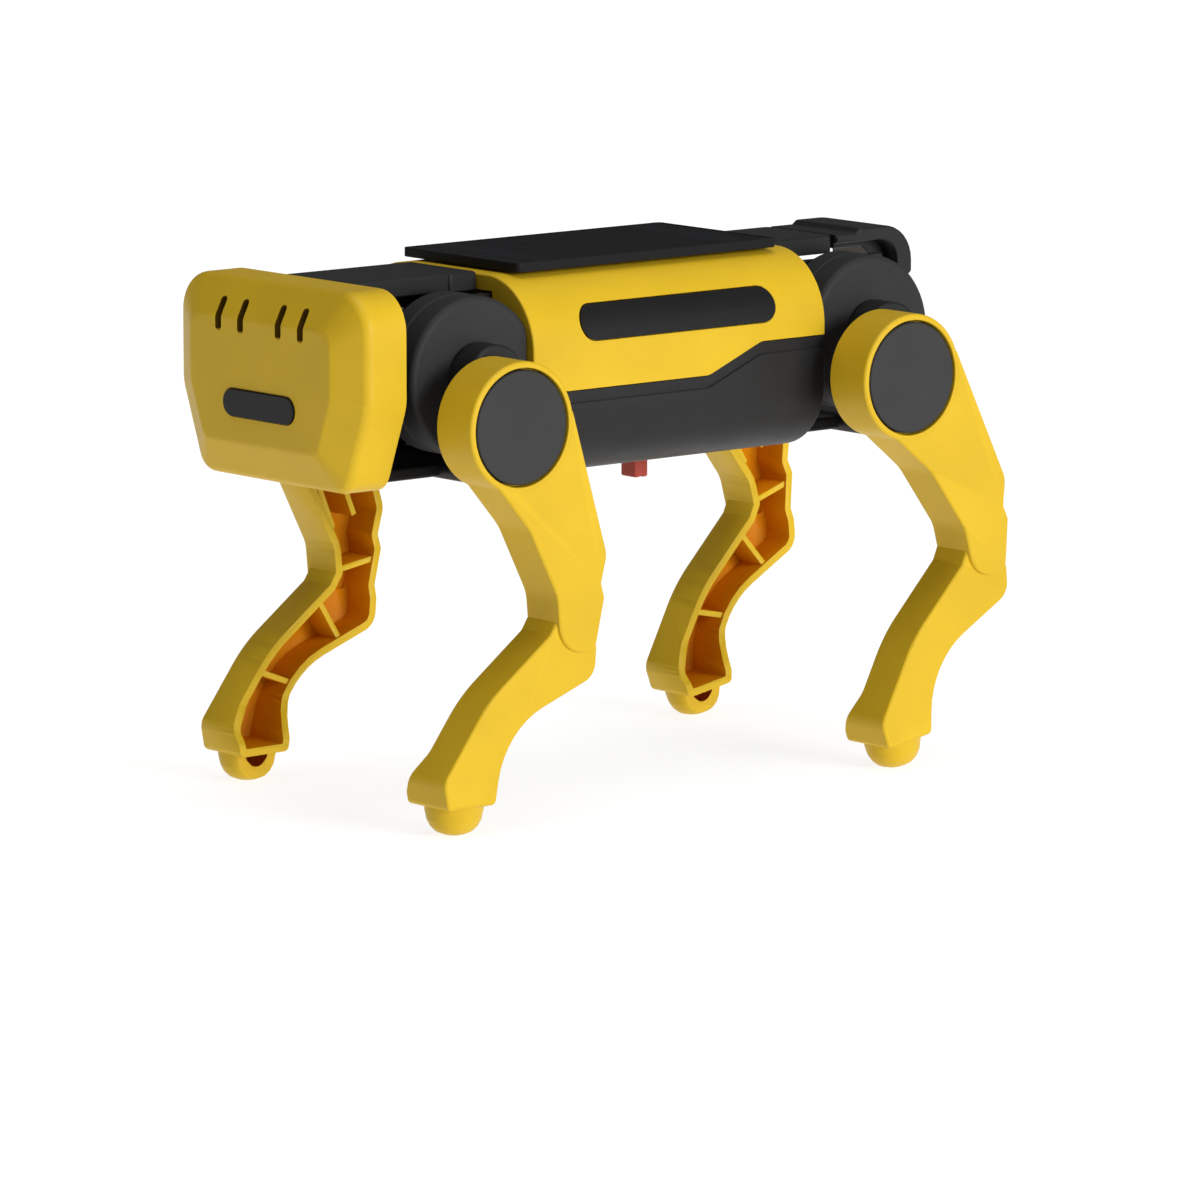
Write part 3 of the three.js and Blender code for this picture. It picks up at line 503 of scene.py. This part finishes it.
UPPER_LEG = [
    [7.3, -5.0], [3.9, -8.0, 4], [-1.3, -14.0, 8], [-6.1, -23.5, 5], [-6.8, -31.4, 4.2], [-12.7, -31.4, 1.6],
    [-14.35, -24.3, 0.6], [-13.8, -22.3, 0.6], [-14.8, -18.5, 3], [-8.85, 1.5],
]
LOWER_LEG = [
    [-7.0, -26.0], [-5.3, -28.6, 1], [5.4, -36.5, 22], [13.0, -46.6, 2.5], [12.3, -50.55, 0.9],
    [4.1, -50.5, 0.8], [2.3, -40.65, 12], [-13.2, -34.95, 2.8], [-13.5, -31.2, 1], [-12.6, -26.0],
]
FLARE_Z = (-48.8, -43.5)
LEG_WALL = 1.1
LOWER_FACE_Y = OUTER_Y - 0.6
HUB_R = 8.85
HUB_BACK_Y = 22.7
CAP_R = 7.7
BOSS_R = 4.8
FOOT_Y = 25.1
FOOT_FLAT_Y = 22.9
FOOT_WALL = 0.9
BOWL = [(0, 0), (1.3, 0.12), (2.5, 0.59), (3.2, 1.29), (3.7, 2.24), (4.0, 3.64), (4.0, 5.0)]
RIB_WIDTH = 0.8
SLOT_LEAN = math.radians(22)
HUB_FLOOR_Y = (26.4, 27.5)
CAP_SEAT, CAP_THICK = 1.7, 1.4


def rib(start, end, ends):
    across = Vector((start[1] - end[1], end[0] - start[0])).normalized() * RIB_WIDTH / 2
    start, end = Vector(start), Vector(end)
    return prism("rib", [start + across, end + across, end - across, start - across], "y", ends)


def along_slot(distance, offset):
    return (-distance * math.sin(SLOT_LEAN) + offset * math.cos(SLOT_LEAN),
            -distance * math.cos(SLOT_LEAN) - offset * math.sin(SLOT_LEAN))


def leg_pockets():
    """What is hollow in the leg: both outlines inside their walls, less the ribs."""
    upper = prism("pocket", rounded(inset(UPPER_LEG, LEG_WALL), 6), "y", (10, OUTER_Y - WALL))
    lower = prism("pocket_lower", rounded(inset(LOWER_LEG, LEG_WALL), 6), "y", (10, LOWER_FACE_Y - WALL))
    depth = (LEG_UPPER_INNER_Y + 0.4, OUTER_Y + 1)
    ribs = [rib(along_slot(9.0, side * 2.0), along_slot(21.5, side * 2.0), depth) for side in (-1, 1)]
    ribs += [
        rib((-14.2, -25.5), (-5.6, -26.9), depth),
        rib((-7.7, -37.2), (-3.2, -29.9), depth),
        rib((0.9, -41.8), (7.6, -39.2), depth),
    ]
    return cut(join(upper, lower), *ribs)


def hub_ring():
    return turned("hub", [
        [HUB_R, HUB_BACK_Y, 0.25], [HUB_R, OUTER_Y, 0.45], [CAP_R + GAP, OUTER_Y, 0.15],
        [CAP_R + GAP, OUTER_Y - CAP_SEAT], [CAP_R - 1.2, OUTER_Y - CAP_SEAT],
        [CAP_R - 1.2, HUB_FLOOR_Y[1]],
        [2.3, HUB_FLOOR_Y[1]], [2.3, HUB_BACK_Y], [3.7, HUB_BACK_Y, 0.2], [3.7, HUB_FLOOR_Y[0]],
        [HUB_R - 1.6, HUB_FLOOR_Y[0]], [HUB_R - 1.6, HUB_BACK_Y, 0.2],
    ], steps=96)


def foot_bowl():
    """A small round bowl under the leg, cut flat and open on the inner side."""
    drop = HUB["front", "left"].z
    turn = math.radians(LEG_TURN["rear"])
    lean_drop = max((drop - rise) * math.cos(turn) + r * math.sin(turn) for r, rise in BOWL)
    centre = ((HUB["rear", "left"].z - lean_drop) / math.sin(turn), FOOT_Y)

    def bowl(wall):
        side = [[max(r - wall, 0.001), rise - drop + wall, 1.2 if 0 < r < 4 else 0] for r, rise in BOWL]
        return turned("bowl", side + [[0.001, side[-1][1]]], centre, "z", 48)

    inner_part = block("inner_part", (centre[0] - 6, centre[0] + 6), (5, FOOT_FLAT_Y), (-60, -40))
    return cut(bowl(0), inner_part, bowl(FOOT_WALL))


def leg_depth():
    """The leg's depth seen from the front: shallow above, flared inwards at the foot."""
    return prism("depth", rounded([
        [LEG_INNER_Y, -60], [LEG_INNER_Y, FLARE_Z[0], 1.5], [LEG_UPPER_INNER_Y, FLARE_Z[1], 3],
        [LEG_UPPER_INNER_Y, 20], [OUTER_Y + 1, 20], [OUTER_Y + 1, -60],
    ]), "x", (-30, 30))


def leg_moulding():
    """One leg about its hub, on the left side of the dog."""
    leg = prism("leg", rounded(UPPER_LEG), "y", (LEG_INNER_Y - 1, OUTER_Y), 0, 0.45)
    lower = prism("lower", rounded(LOWER_LEG), "y", (LEG_INNER_Y - 1, LOWER_FACE_Y), 0, 0.5)
    leg = keep_inside(join(leg, lower), leg_depth())
    leg = cut(leg, leg_pockets(), rod("hub_space", HUB_R - 0.3, "y", (10, OUTER_Y + 2), (0, 0), 0, 96))
    leg = join(leg, hub_ring(), foot_bowl())
    return finish_edges(leg, 0.1, 30)


def paint_light_and_shade_in_hollow(piece, look, nearest, reach):
    """Paints light and shade into hollows: gives a second look to faces that have the same piece in front of them,
    between two distances in mm.
    """
    mesh = piece.data
    mesh.materials.clear()
    mesh.materials.append(YELLOW)
    mesh.materials.append(look)
    tree = BVHTree.FromPolygons([v.co for v in mesh.vertices], [face.vertices for face in mesh.polygons])
    for face in mesh.polygons:
        distance = tree.ray_cast(face.center + face.normal * 0.02 * MM, face.normal, reach * MM)[3]
        face.material_index = int(distance is not None and distance > nearest * MM)


def paint_bounce_shade_inside(leg, look):
    """Painted bounced light and shade: the hollow's floor, walls and ribs take a deeper, darker amber than the
    leg's outside and rims.
    """
    paint_light_and_shade_in_hollow(leg, look, 0.6, 14)
    side = math.copysign(1, sum(v.co.y for v in leg.data.vertices))
    floor_y = (LEG_UPPER_INNER_Y + 2) * MM
    for face in leg.data.polygons:
        from_hub = Vector((face.center.x, 0, face.center.z)).length
        if from_hub < HUB_R * MM:
            face.material_index = 0
        elif face.normal.y * side < -0.5 and abs(face.center.y) > floor_y:
            face.material_index = 1


def build_legs():
    left = leg_moulding()
    right = mirrored(left, "leg_right")
    for leg in (left, right):
        # Paints bounced light and shade into each leg's hollow.
        paint_bounce_shade_inside(leg, YELLOW_PAINTED_BOUNCE_SHADE)
    for end in ENDS:
        for side, source in (("left", left), ("right", right)):
            name = f"leg_{end}_{side}"
            hub = HUB[end, side]
            settle(moved(source, f"{name}_moulding", (hub.x, 0, hub.z), LEG_TURN[end]), name)
    bpy.data.objects.remove(left)
    bpy.data.objects.remove(right)


def build_hub_caps():
    disc = turned("cap", [
        [0.001, OUTER_Y - CAP_THICK], [CAP_R, OUTER_Y - CAP_THICK], [CAP_R, OUTER_Y - 0.1, 0.3],
        [0.001, OUTER_Y - 0.1],
    ], steps=96)
    finish_edges(disc)
    for end in ENDS:
        for side, way in SIDES.items():
            cap = disc if way > 0 else mirrored(disc, "cap_right")
            name = f"hub_cap_{end}_{side}"
            settle(moved(cap, f"{name}_disc", (HUB[end, side].x, 0, HUB[end, side].z)), name)
            if way < 0:
                bpy.data.objects.remove(cap)
    bpy.data.objects.remove(disc)


# ---- Hips ----

DRUM_R = 10.9
DRUM_FACE_Y = 17.7
SLEEVE_R = 2.5
SHELL_LOW, SHELL_HIGH = span_of("upper_shell")


def build_drums():
    inner = span_of("hip_drum_front_left")[0].y
    for end in ENDS:
        drum = turned("drum", [
            [DRUM_R - WALL, inner], [DRUM_R, inner, 0.3], [DRUM_R, DRUM_FACE_Y - 4.3, 0.2],
            [DRUM_R - 0.3, DRUM_FACE_Y - 4.1, 0.1], [DRUM_R - 0.3, DRUM_FACE_Y - 3.8, 0.1],
            [DRUM_R - 0.05, DRUM_FACE_Y - 3.6, 0.2], [DRUM_R - 0.05, DRUM_FACE_Y, 0.9],
            [SLEEVE_R + 0.4, DRUM_FACE_Y], [SLEEVE_R + 0.4, DRUM_FACE_Y - WALL],
            [DRUM_R - WALL, DRUM_FACE_Y - WALL],
        ], (AXLE[end].x, AXLE[end].z), steps=96)
        drum = cut(drum, block(
            "shell_space", (SHELL_LOW.x - GAP, SHELL_HIGH.x + GAP), (-30, 30), (20, 90)))
        finish_edges(drum, 0.15)
        for side, way in SIDES.items():
            piece = mirrored(drum, "drum_right") if way < 0 else moved(drum, "drum_left", (0, 0, 0))
            piece.name = f"hip_drum_{end}_{side}_shell"
            settle(piece, f"hip_drum_{end}_{side}", material=DRUM_BLACK)
        bpy.data.objects.remove(drum)


def crank_form(axle, hub):
    arm_y, face_y = 21.0, HUB_BACK_Y - 0.4
    crank = turned("crank", [
        [1.3, 12], [SLEEVE_R, 12, 0.2], [SLEEVE_R, DRUM_FACE_Y + GAP], [BOSS_R, DRUM_FACE_Y + GAP, 0.3],
        [BOSS_R, face_y, 0.4], [1.3, face_y],
    ], axle)
    arm = prism("arm", pill(3.7, axle, hub), "y", (arm_y, face_y), 0.3, 0.3)
    pin = rod("pin", 2.0, "y", (face_y - 0.2, HUB_FLOOR_Y[1] - 0.1), hub, 0.2)
    crank = cut(join(crank, arm, pin), rod("bore", 1.1, "y", (face_y + 1, 30), hub, 0, 24))
    return finish_edges(crank, 0.1)


def build_cranks():
    for end in ENDS:
        for side, way in SIDES.items():
            axle, hub = AXLE[end], HUB[end, side]
            crank = crank_form((axle.x, axle.z), (hub.x, hub.z))
            if way < 0:
                left_hand = crank
                crank = mirrored(left_hand, "crank_right")
                bpy.data.objects.remove(left_hand)
            crank.name = f"crank_{end}_{side}_casting"
            settle(crank, f"crank_{end}_{side}")


# ---- Body shells ----

SHELL_X = (SHELL_LOW.x, SHELL_HIGH.x)
SHELL_HALF = SHELL_HIGH.y
SHELL_TOP_Z = SHELL_HIGH.z
BELLY_Z = span_of("belly_shell")[0].z
PARTING_FRONT_Z, PARTING_REAR_Z = 56.9, 60.8
PARTING_STEP_X = (BODY_X - 4.7, BODY_X - 14.2)
OPENING_LOW_Z = 48.6
CHASSIS_OUT_Y = span_of("chassis_side_left")[1].y
PLATE_TOP_Z = span_of("chassis_side_left")[1].z


def body_tube(wall, ends, rounding=0.0):
    section = [
        [-SHELL_HALF, BELLY_Z, 9.5], [SHELL_HALF, BELLY_Z, 9.5],
        [SHELL_HALF, SHELL_TOP_Z, 10], [-SHELL_HALF, SHELL_TOP_Z, 10],
    ]
    outline = rounded(inset(section, wall) if wall else section, 20)
    return prism("tube", outline, "x", ends, rounding, rounding)


def parting(lift, far_z):
    """The region above or below the stepped parting line, as a prism across the body."""
    front, rear = SHELL_X[1] + 1, SHELL_X[0] - 1
    corners = [
        [front, PARTING_FRONT_Z + lift], [PARTING_STEP_X[0], PARTING_FRONT_Z + lift, 3],
        [PARTING_STEP_X[1], PARTING_REAR_Z + lift, 3], [rear, PARTING_REAR_Z + lift],
        [rear, far_z], [front, far_z],
    ]
    return prism("parting", rounded(corners, 6), "y", (-30, 30))


def hollow_body():
    shell = body_tube(0, SHELL_X, 0.3)
    opening = block(
        "opening", (SHELL_X[0] - 2, SHELL_X[1] + 2), (-CHASSIS_OUT_Y - GAP, CHASSIS_OUT_Y + GAP),
        (OPENING_LOW_Z, PLATE_TOP_Z + GAP))
    return cut(shell, body_tube(WALL, (SHELL_X[0] + WALL, SHELL_X[1] - WALL)), opening)


def badge_outline(grow):
    low, high = span_of("side_badge_left")
    radius = (high.z - low.z) / 2
    middle = (high.z + low.z) / 2
    return pill(radius + grow, (low.x + radius, middle), (high.x - radius, middle), 20)


def side_badge(way, grow, inner, outer):
    skin = cut(body_tube(-outer, SHELL_X), body_tube(inner, (SHELL_X[0] - 1, SHELL_X[1] + 1)))
    side = prism("pill", badge_outline(grow), "y", (5 * way, 25 * way))
    return keep_inside(skin, side)


def build_shells():
    upper = keep_inside(hollow_body(), parting(0, 95))
    upper = cut(upper, *[side_badge(way, 0.15, 0.75, 1) for way in SIDES.values()])
    finish_edges(upper, 0.2)
    upper.name = "upper_shell_moulding"
    settle(upper, "upper_shell")

    lower = keep_inside(hollow_body(), parting(-GAP / 2, 20))
    strip = keep_inside(parting(-1.8, 95), parting(2, 20))
    band = cut(
        body_tube(-1, (SHELL_X[0] - 1, SHELL_X[1] + 1)), body_tube(0.3, (SHELL_X[0] - 2, SHELL_X[1] + 2)))
    knob_low, knob_high = span_of("switch_knob")
    travel = JOINTS["switch_slide"]["range_m"][1] / MM
    switch_slot = block(
        "slot", (knob_low.x - GAP, knob_high.x + travel + GAP), (knob_low.y - GAP, knob_high.y + GAP),
        (BELLY_Z - 2, BELLY_Z + 3))
    lower = cut(lower, keep_inside(band, strip), switch_slot)
    finish_edges(lower, 0.15)
    lower.name = "belly_shell_moulding"
    settle(lower, "belly_shell")

    for side, way in SIDES.items():
        badge = side_badge(way, 0, 0.5, 0.15)
        finish_edges(badge, 0.12)
        badge.name = f"side_badge_{side}_plate"
        settle(badge, f"side_badge_{side}")


# ---- Solar panel ----

def build_panel():
    low, high = span_of("solar_panel_tray")
    tray = prism(
        "solar_panel_tray_frame", rounded(rectangle((low.x, high.x), (low.y, high.y), 0.8), 4), "z",
        (low.z, high.z), 0.15, 0.12)
    tray = cut(tray, block(
        "recess", (low.x + 0.6, high.x - 0.6), (low.y + 0.6, high.y - 0.6), (high.z - 0.7, high.z + 1)))
    finish_edges(tray)
    settle(tray, "solar_panel_tray", material=PANEL_BLACK)
    low, high = span_of("solar_cell")
    cell = block("solar_cell_sheet", (low.x - 0.25, high.x + 0.25), (low.y - 0.25, high.y + 0.25),
                 (low.z, high.z), 0.05, 0.4)
    finish_edges(cell)
    settle(cell, "solar_cell")


# ---- Covers, tail and guide bars ----

COVER_HALF = 7.0
TAB_LENGTH = 4.9
HOOD_THICK, HOOD_PLATE, HOOD_STEP = 2.8, 1.9, 4.0


def build_covers():
    low, high = span_of("front_top_cover")
    cover = block(
        "front_top_cover_moulding", (low.x, high.x), (-COVER_HALF, COVER_HALF), (low.z, high.z), 0.2, 0.4)
    tab = block("tab", (low.x, low.x + TAB_LENGTH), (low.y, high.y), (low.z, high.z - 0.1), 0.15, 0.5)
    room = block("room", (low.x + WALL, high.x - WALL), (-COVER_HALF + WALL, COVER_HALF - WALL),
                 (low.z - 1, high.z - WALL))
    settle(finish_edges(cut(join(cover, tab), room), 0.1), "front_top_cover")

    low, high = span_of("rear_deck")
    corners = [[low.x, low.y, 1.3], [high.x, low.y, 0.3], [high.x, high.y, 0.3], [low.x, high.y, 1.3]]
    deck = prism("rear_deck_moulding", rounded(corners), "z", (low.z, high.z), 0.15, 0.3)
    deck = cut(deck, block("room", (low.x + WALL, high.x - WALL), (low.y + WALL, high.y - WALL),
                           (low.z - 1, high.z - WALL)))
    settle(finish_edges(deck, 0.1), "rear_deck")


def build_tail_hood():
    low, high = span_of("tail_hood")
    deck_z = span_of("rear_deck")[1].z
    plate_z, rise_x = high.z - HOOD_PLATE, high.x - HOOD_STEP
    outline = [
        [high.x, plate_z, 0.1], [high.x, deck_z, 0.1], [rise_x, deck_z, 0.3], [rise_x - 0.8, high.z, 0.6],
        [low.x, high.z, 5.2], [low.x, low.z, 0.7], [low.x + HOOD_THICK, low.z, 0.7],
        [low.x + HOOD_THICK, plate_z, 3.2],
    ]
    hood = prism("tail_hood_moulding", rounded(outline), "y", (low.y, high.y), 0.35, 0.35)
    web = prism("web", rounded([
        [high.x - 2.2, high.z - 3.0, 0.3], [high.x - 2.2, high.z - 1.1], [low.x + 2.4, high.z - 1.1],
        [low.x + 2.4, low.z + 1], [low.x + 3.1, low.z + 1, 0.3], [low.x + 6.8, high.z - 3.0, 0.3],
    ]), "y", (-4, 4), 0.3, 0.3)
    settle(finish_edges(join(hood, web), 0.08), "tail_hood")


GUIDE_PIN_Z = 46.5
GUIDE_BAR_Z = (45.6, 47.4)
POST_X = {"front": BODY_X + 28.9, "rear": BODY_X - 27.7}
POST_Y = (6.5, 9.6)
PIN_R = 1.3


def build_guide_bars():
    for end in ENDS:
        low, high = span_of(f"{end}_guide_bar")
        lean = SLOT_LEAN + math.radians(LEG_TURN[end])
        hub = HUB[end, "left"]
        pin = (hub.x - (hub.z - GUIDE_PIN_Z) * math.tan(lean), GUIDE_PIN_Z)
        bar = block(
            f"{end}_guide_bar_moulding", (low.x, high.x), (-POST_Y[1], POST_Y[1]), GUIDE_BAR_Z, 0.4, 1.2)
        parts = [rod("pins", PIN_R, "y", (low.y, high.y), pin, 0.35)]
        for way in SIDES.values():
            ends = sorted((POST_Y[0] * way, POST_Y[1] * way))
            parts.append(block("post", (POST_X[end] - 1, POST_X[end] + 1), ends,
                               (GUIDE_BAR_Z[1] - 0.8, high.z), 0.2, 0.4))
        settle(finish_edges(join(bar, *parts), 0.12), f"{end}_guide_bar")


# ---- Head ----

HEAD_LOW, HEAD_HIGH = span_of("head_shell")
HEAD_WALL = 1.4
VENT_Y = (-8.9, -4.1, 4.1, 8.9)
VENT_Z = (65.6, 70.2)
VENT_HALF = 0.65
HEAD_CORNERS = [
    [-15.8, 45.6, 3.2], [15.8, 45.6, 3.2], [20.3, 57.5, 7], [20.3, 72.8, 5.5], [-20.3, 72.8, 5.5],
    [-20.3, 57.5, 7],
]


def head_section(shrink):
    corners = [[y, z, max(r, HEAD_CORNERS[i][2] * 0.45)]
               for i, (y, z, r) in enumerate(inset(HEAD_CORNERS, shrink))] if shrink else HEAD_CORNERS
    return rounded(corners, 10)


def head_form(name, wall):
    """The head's side runs straight forward, then bends in twice to the flat front face."""
    face_x = HEAD_HIGH.x - 0.15 if wall == 0 else HEAD_HIGH.x - HEAD_WALL
    back = HEAD_LOW.x - (0 if wall == 0 else 2)
    profile = rounded([
        [back, 0], [face_x - 2.6, 0, 1.6], [face_x, 5.2, 1.6], [face_x, 7.2],
    ], 7)
    layers = [(head_section(wall + shrink), x) for x, shrink in profile]
    return layered(name, layers, "x")


def vent(y):
    """A slot through the front face and its bevel."""
    slot = rectangle((y - VENT_HALF, y + VENT_HALF), VENT_Z, 0.6)
    return prism("vent", rounded(slot, 6), "x", (50, 60))


def build_head():
    head = cut(head_form("head_shell_moulding", 0), head_form("head_room", HEAD_WALL))
    low, high = span_of("head_badge")
    radius, middle = (high.z - low.z) / 2, (high.z + low.z) / 2
    ends = ((low.y + radius, middle), (high.y - radius, middle))
    seat = prism("seat", pill(radius + 0.12, *ends), "x", (low.x - 0.1, high.x + 2))
    head = cut(head, *[vent(y) for y in VENT_Y], seat)
    finish_edges(head, 0.18)
    # Paints shade onto the vent slots' walls.
    paint_light_and_shade_in_hollow(head, VENT_PAINTED_SHADE, 0.4, 1.6)
    settle(head, "head_shell")
    badge = prism("head_badge_plate", pill(radius, *ends, 20), "x", (low.x, high.x), 0.05, 0.12)
    settle(finish_edges(badge), "head_badge")


# ---- Switch knob ----

def build_switch_knob():
    low, high = span_of("switch_knob")
    knob = block("switch_knob_moulding", (low.x, high.x), (low.y, high.y), (low.z, high.z), 0.3, 0.35)
    groove = rod("groove", 0.35, "y", (low.y - 1, high.y + 1), ((low.x + high.x) / 2, low.z - 0.05), 0, 16)
    settle(finish_edges(cut(knob, groove), 0.06), "switch_knob")


# ---- Inner and small parts: the CAD forms with their edges softened ----

def build_inner_parts():
    for node in [name for name in NODES if name not in SETTLED]:
        piece = bpy.data.objects.new(f"{node}_part", NODES[node].data.copy())
        bpy.context.scene.collection.objects.link(piece)
        piece.data.materials.clear()
        finish_edges(piece, 0.0 if node.startswith("wire") else 0.08, 40)
        settle(piece, node)


# ---- Stage ----

FLOOR_HALF = 4000


def build_stage():
    far = FLOOR_HALF
    corners = [(-far, -far, 0), (far, -far, 0), (far, far, 0), (-far, far, 0)]
    floor = make_object("floor", corners, [[0, 1, 2, 3]])
    look = Shader("pale_floor", Roughness=0.9, Emission_Color=(1, 1, 1, 1), Emission_Strength=0.85)
    look.colour(look.ramp(look.noise(60.0), 0.3, 0.7, linear("8a8a8a"), linear("909090")))
    floor.data.materials.append(look.material)


def direction(azimuth, elevation):
    """A unit vector. Angles are in degrees, and the azimuth runs from +Y towards +X."""
    azimuth, elevation = math.radians(azimuth), math.radians(elevation)
    flat = math.cos(elevation)
    return Vector((math.sin(azimuth) * flat, math.cos(azimuth) * flat, math.sin(elevation)))


def soft_sun(name, azimuth, elevation, strength, spread):
    """A distant light, whose spread is the angle that softens its shadows."""
    light = bpy.data.lights.new(name, "SUN")
    light.energy = strength * math.pi
    light.angle = math.radians(spread)
    lamp = bpy.data.objects.new(name, light)
    towards = direction(azimuth, elevation)
    lamp.rotation_euler = towards.to_track_quat("Z", "Y").to_euler()
    bpy.context.scene.collection.objects.link(lamp)


def build_lights():
    soft_sun("key", -8, 12, 0.84, 30)
    soft_sun("top", 0, 85, 0.42, 50)
    world = bpy.data.worlds.new("studio")
    world.use_nodes = True
    background = world.node_tree.nodes["Background"]
    background.inputs["Color"].default_value = (1, 1, 1, 1)
    background.inputs["Strength"].default_value = 0.12
    bpy.context.scene.world = world
    bpy.context.scene.view_settings.view_transform = "Standard"


CAMERA_AZIMUTH = 40.06
CAMERA_ELEVATION = 9.19
CAMERA_DISTANCE = 1160.1
CAMERA_TARGET = Vector((-2.43, -0.9, 23.6))
CAMERA_LENS = 250.4


def build_camera():
    back = direction(CAMERA_AZIMUTH, CAMERA_ELEVATION)
    data = bpy.data.cameras.new("camera")
    data.lens = CAMERA_LENS
    data.sensor_width = 36
    data.clip_end = 20
    camera = bpy.data.objects.new("camera", data)
    camera.location = (CAMERA_TARGET + back * CAMERA_DISTANCE) * MM
    camera.rotation_euler = back.to_track_quat("Z", "Y").to_euler()
    bpy.context.scene.collection.objects.link(camera)
    bpy.context.scene.camera = camera


build_camera()
build_stage()
build_lights()
build_legs()
build_hub_caps()
build_drums()
build_cranks()
build_shells()
build_panel()
build_covers()
build_tail_hood()
build_guide_bars()
build_head()
build_switch_knob()
build_inner_parts()

bpy.context.view_layer.update()
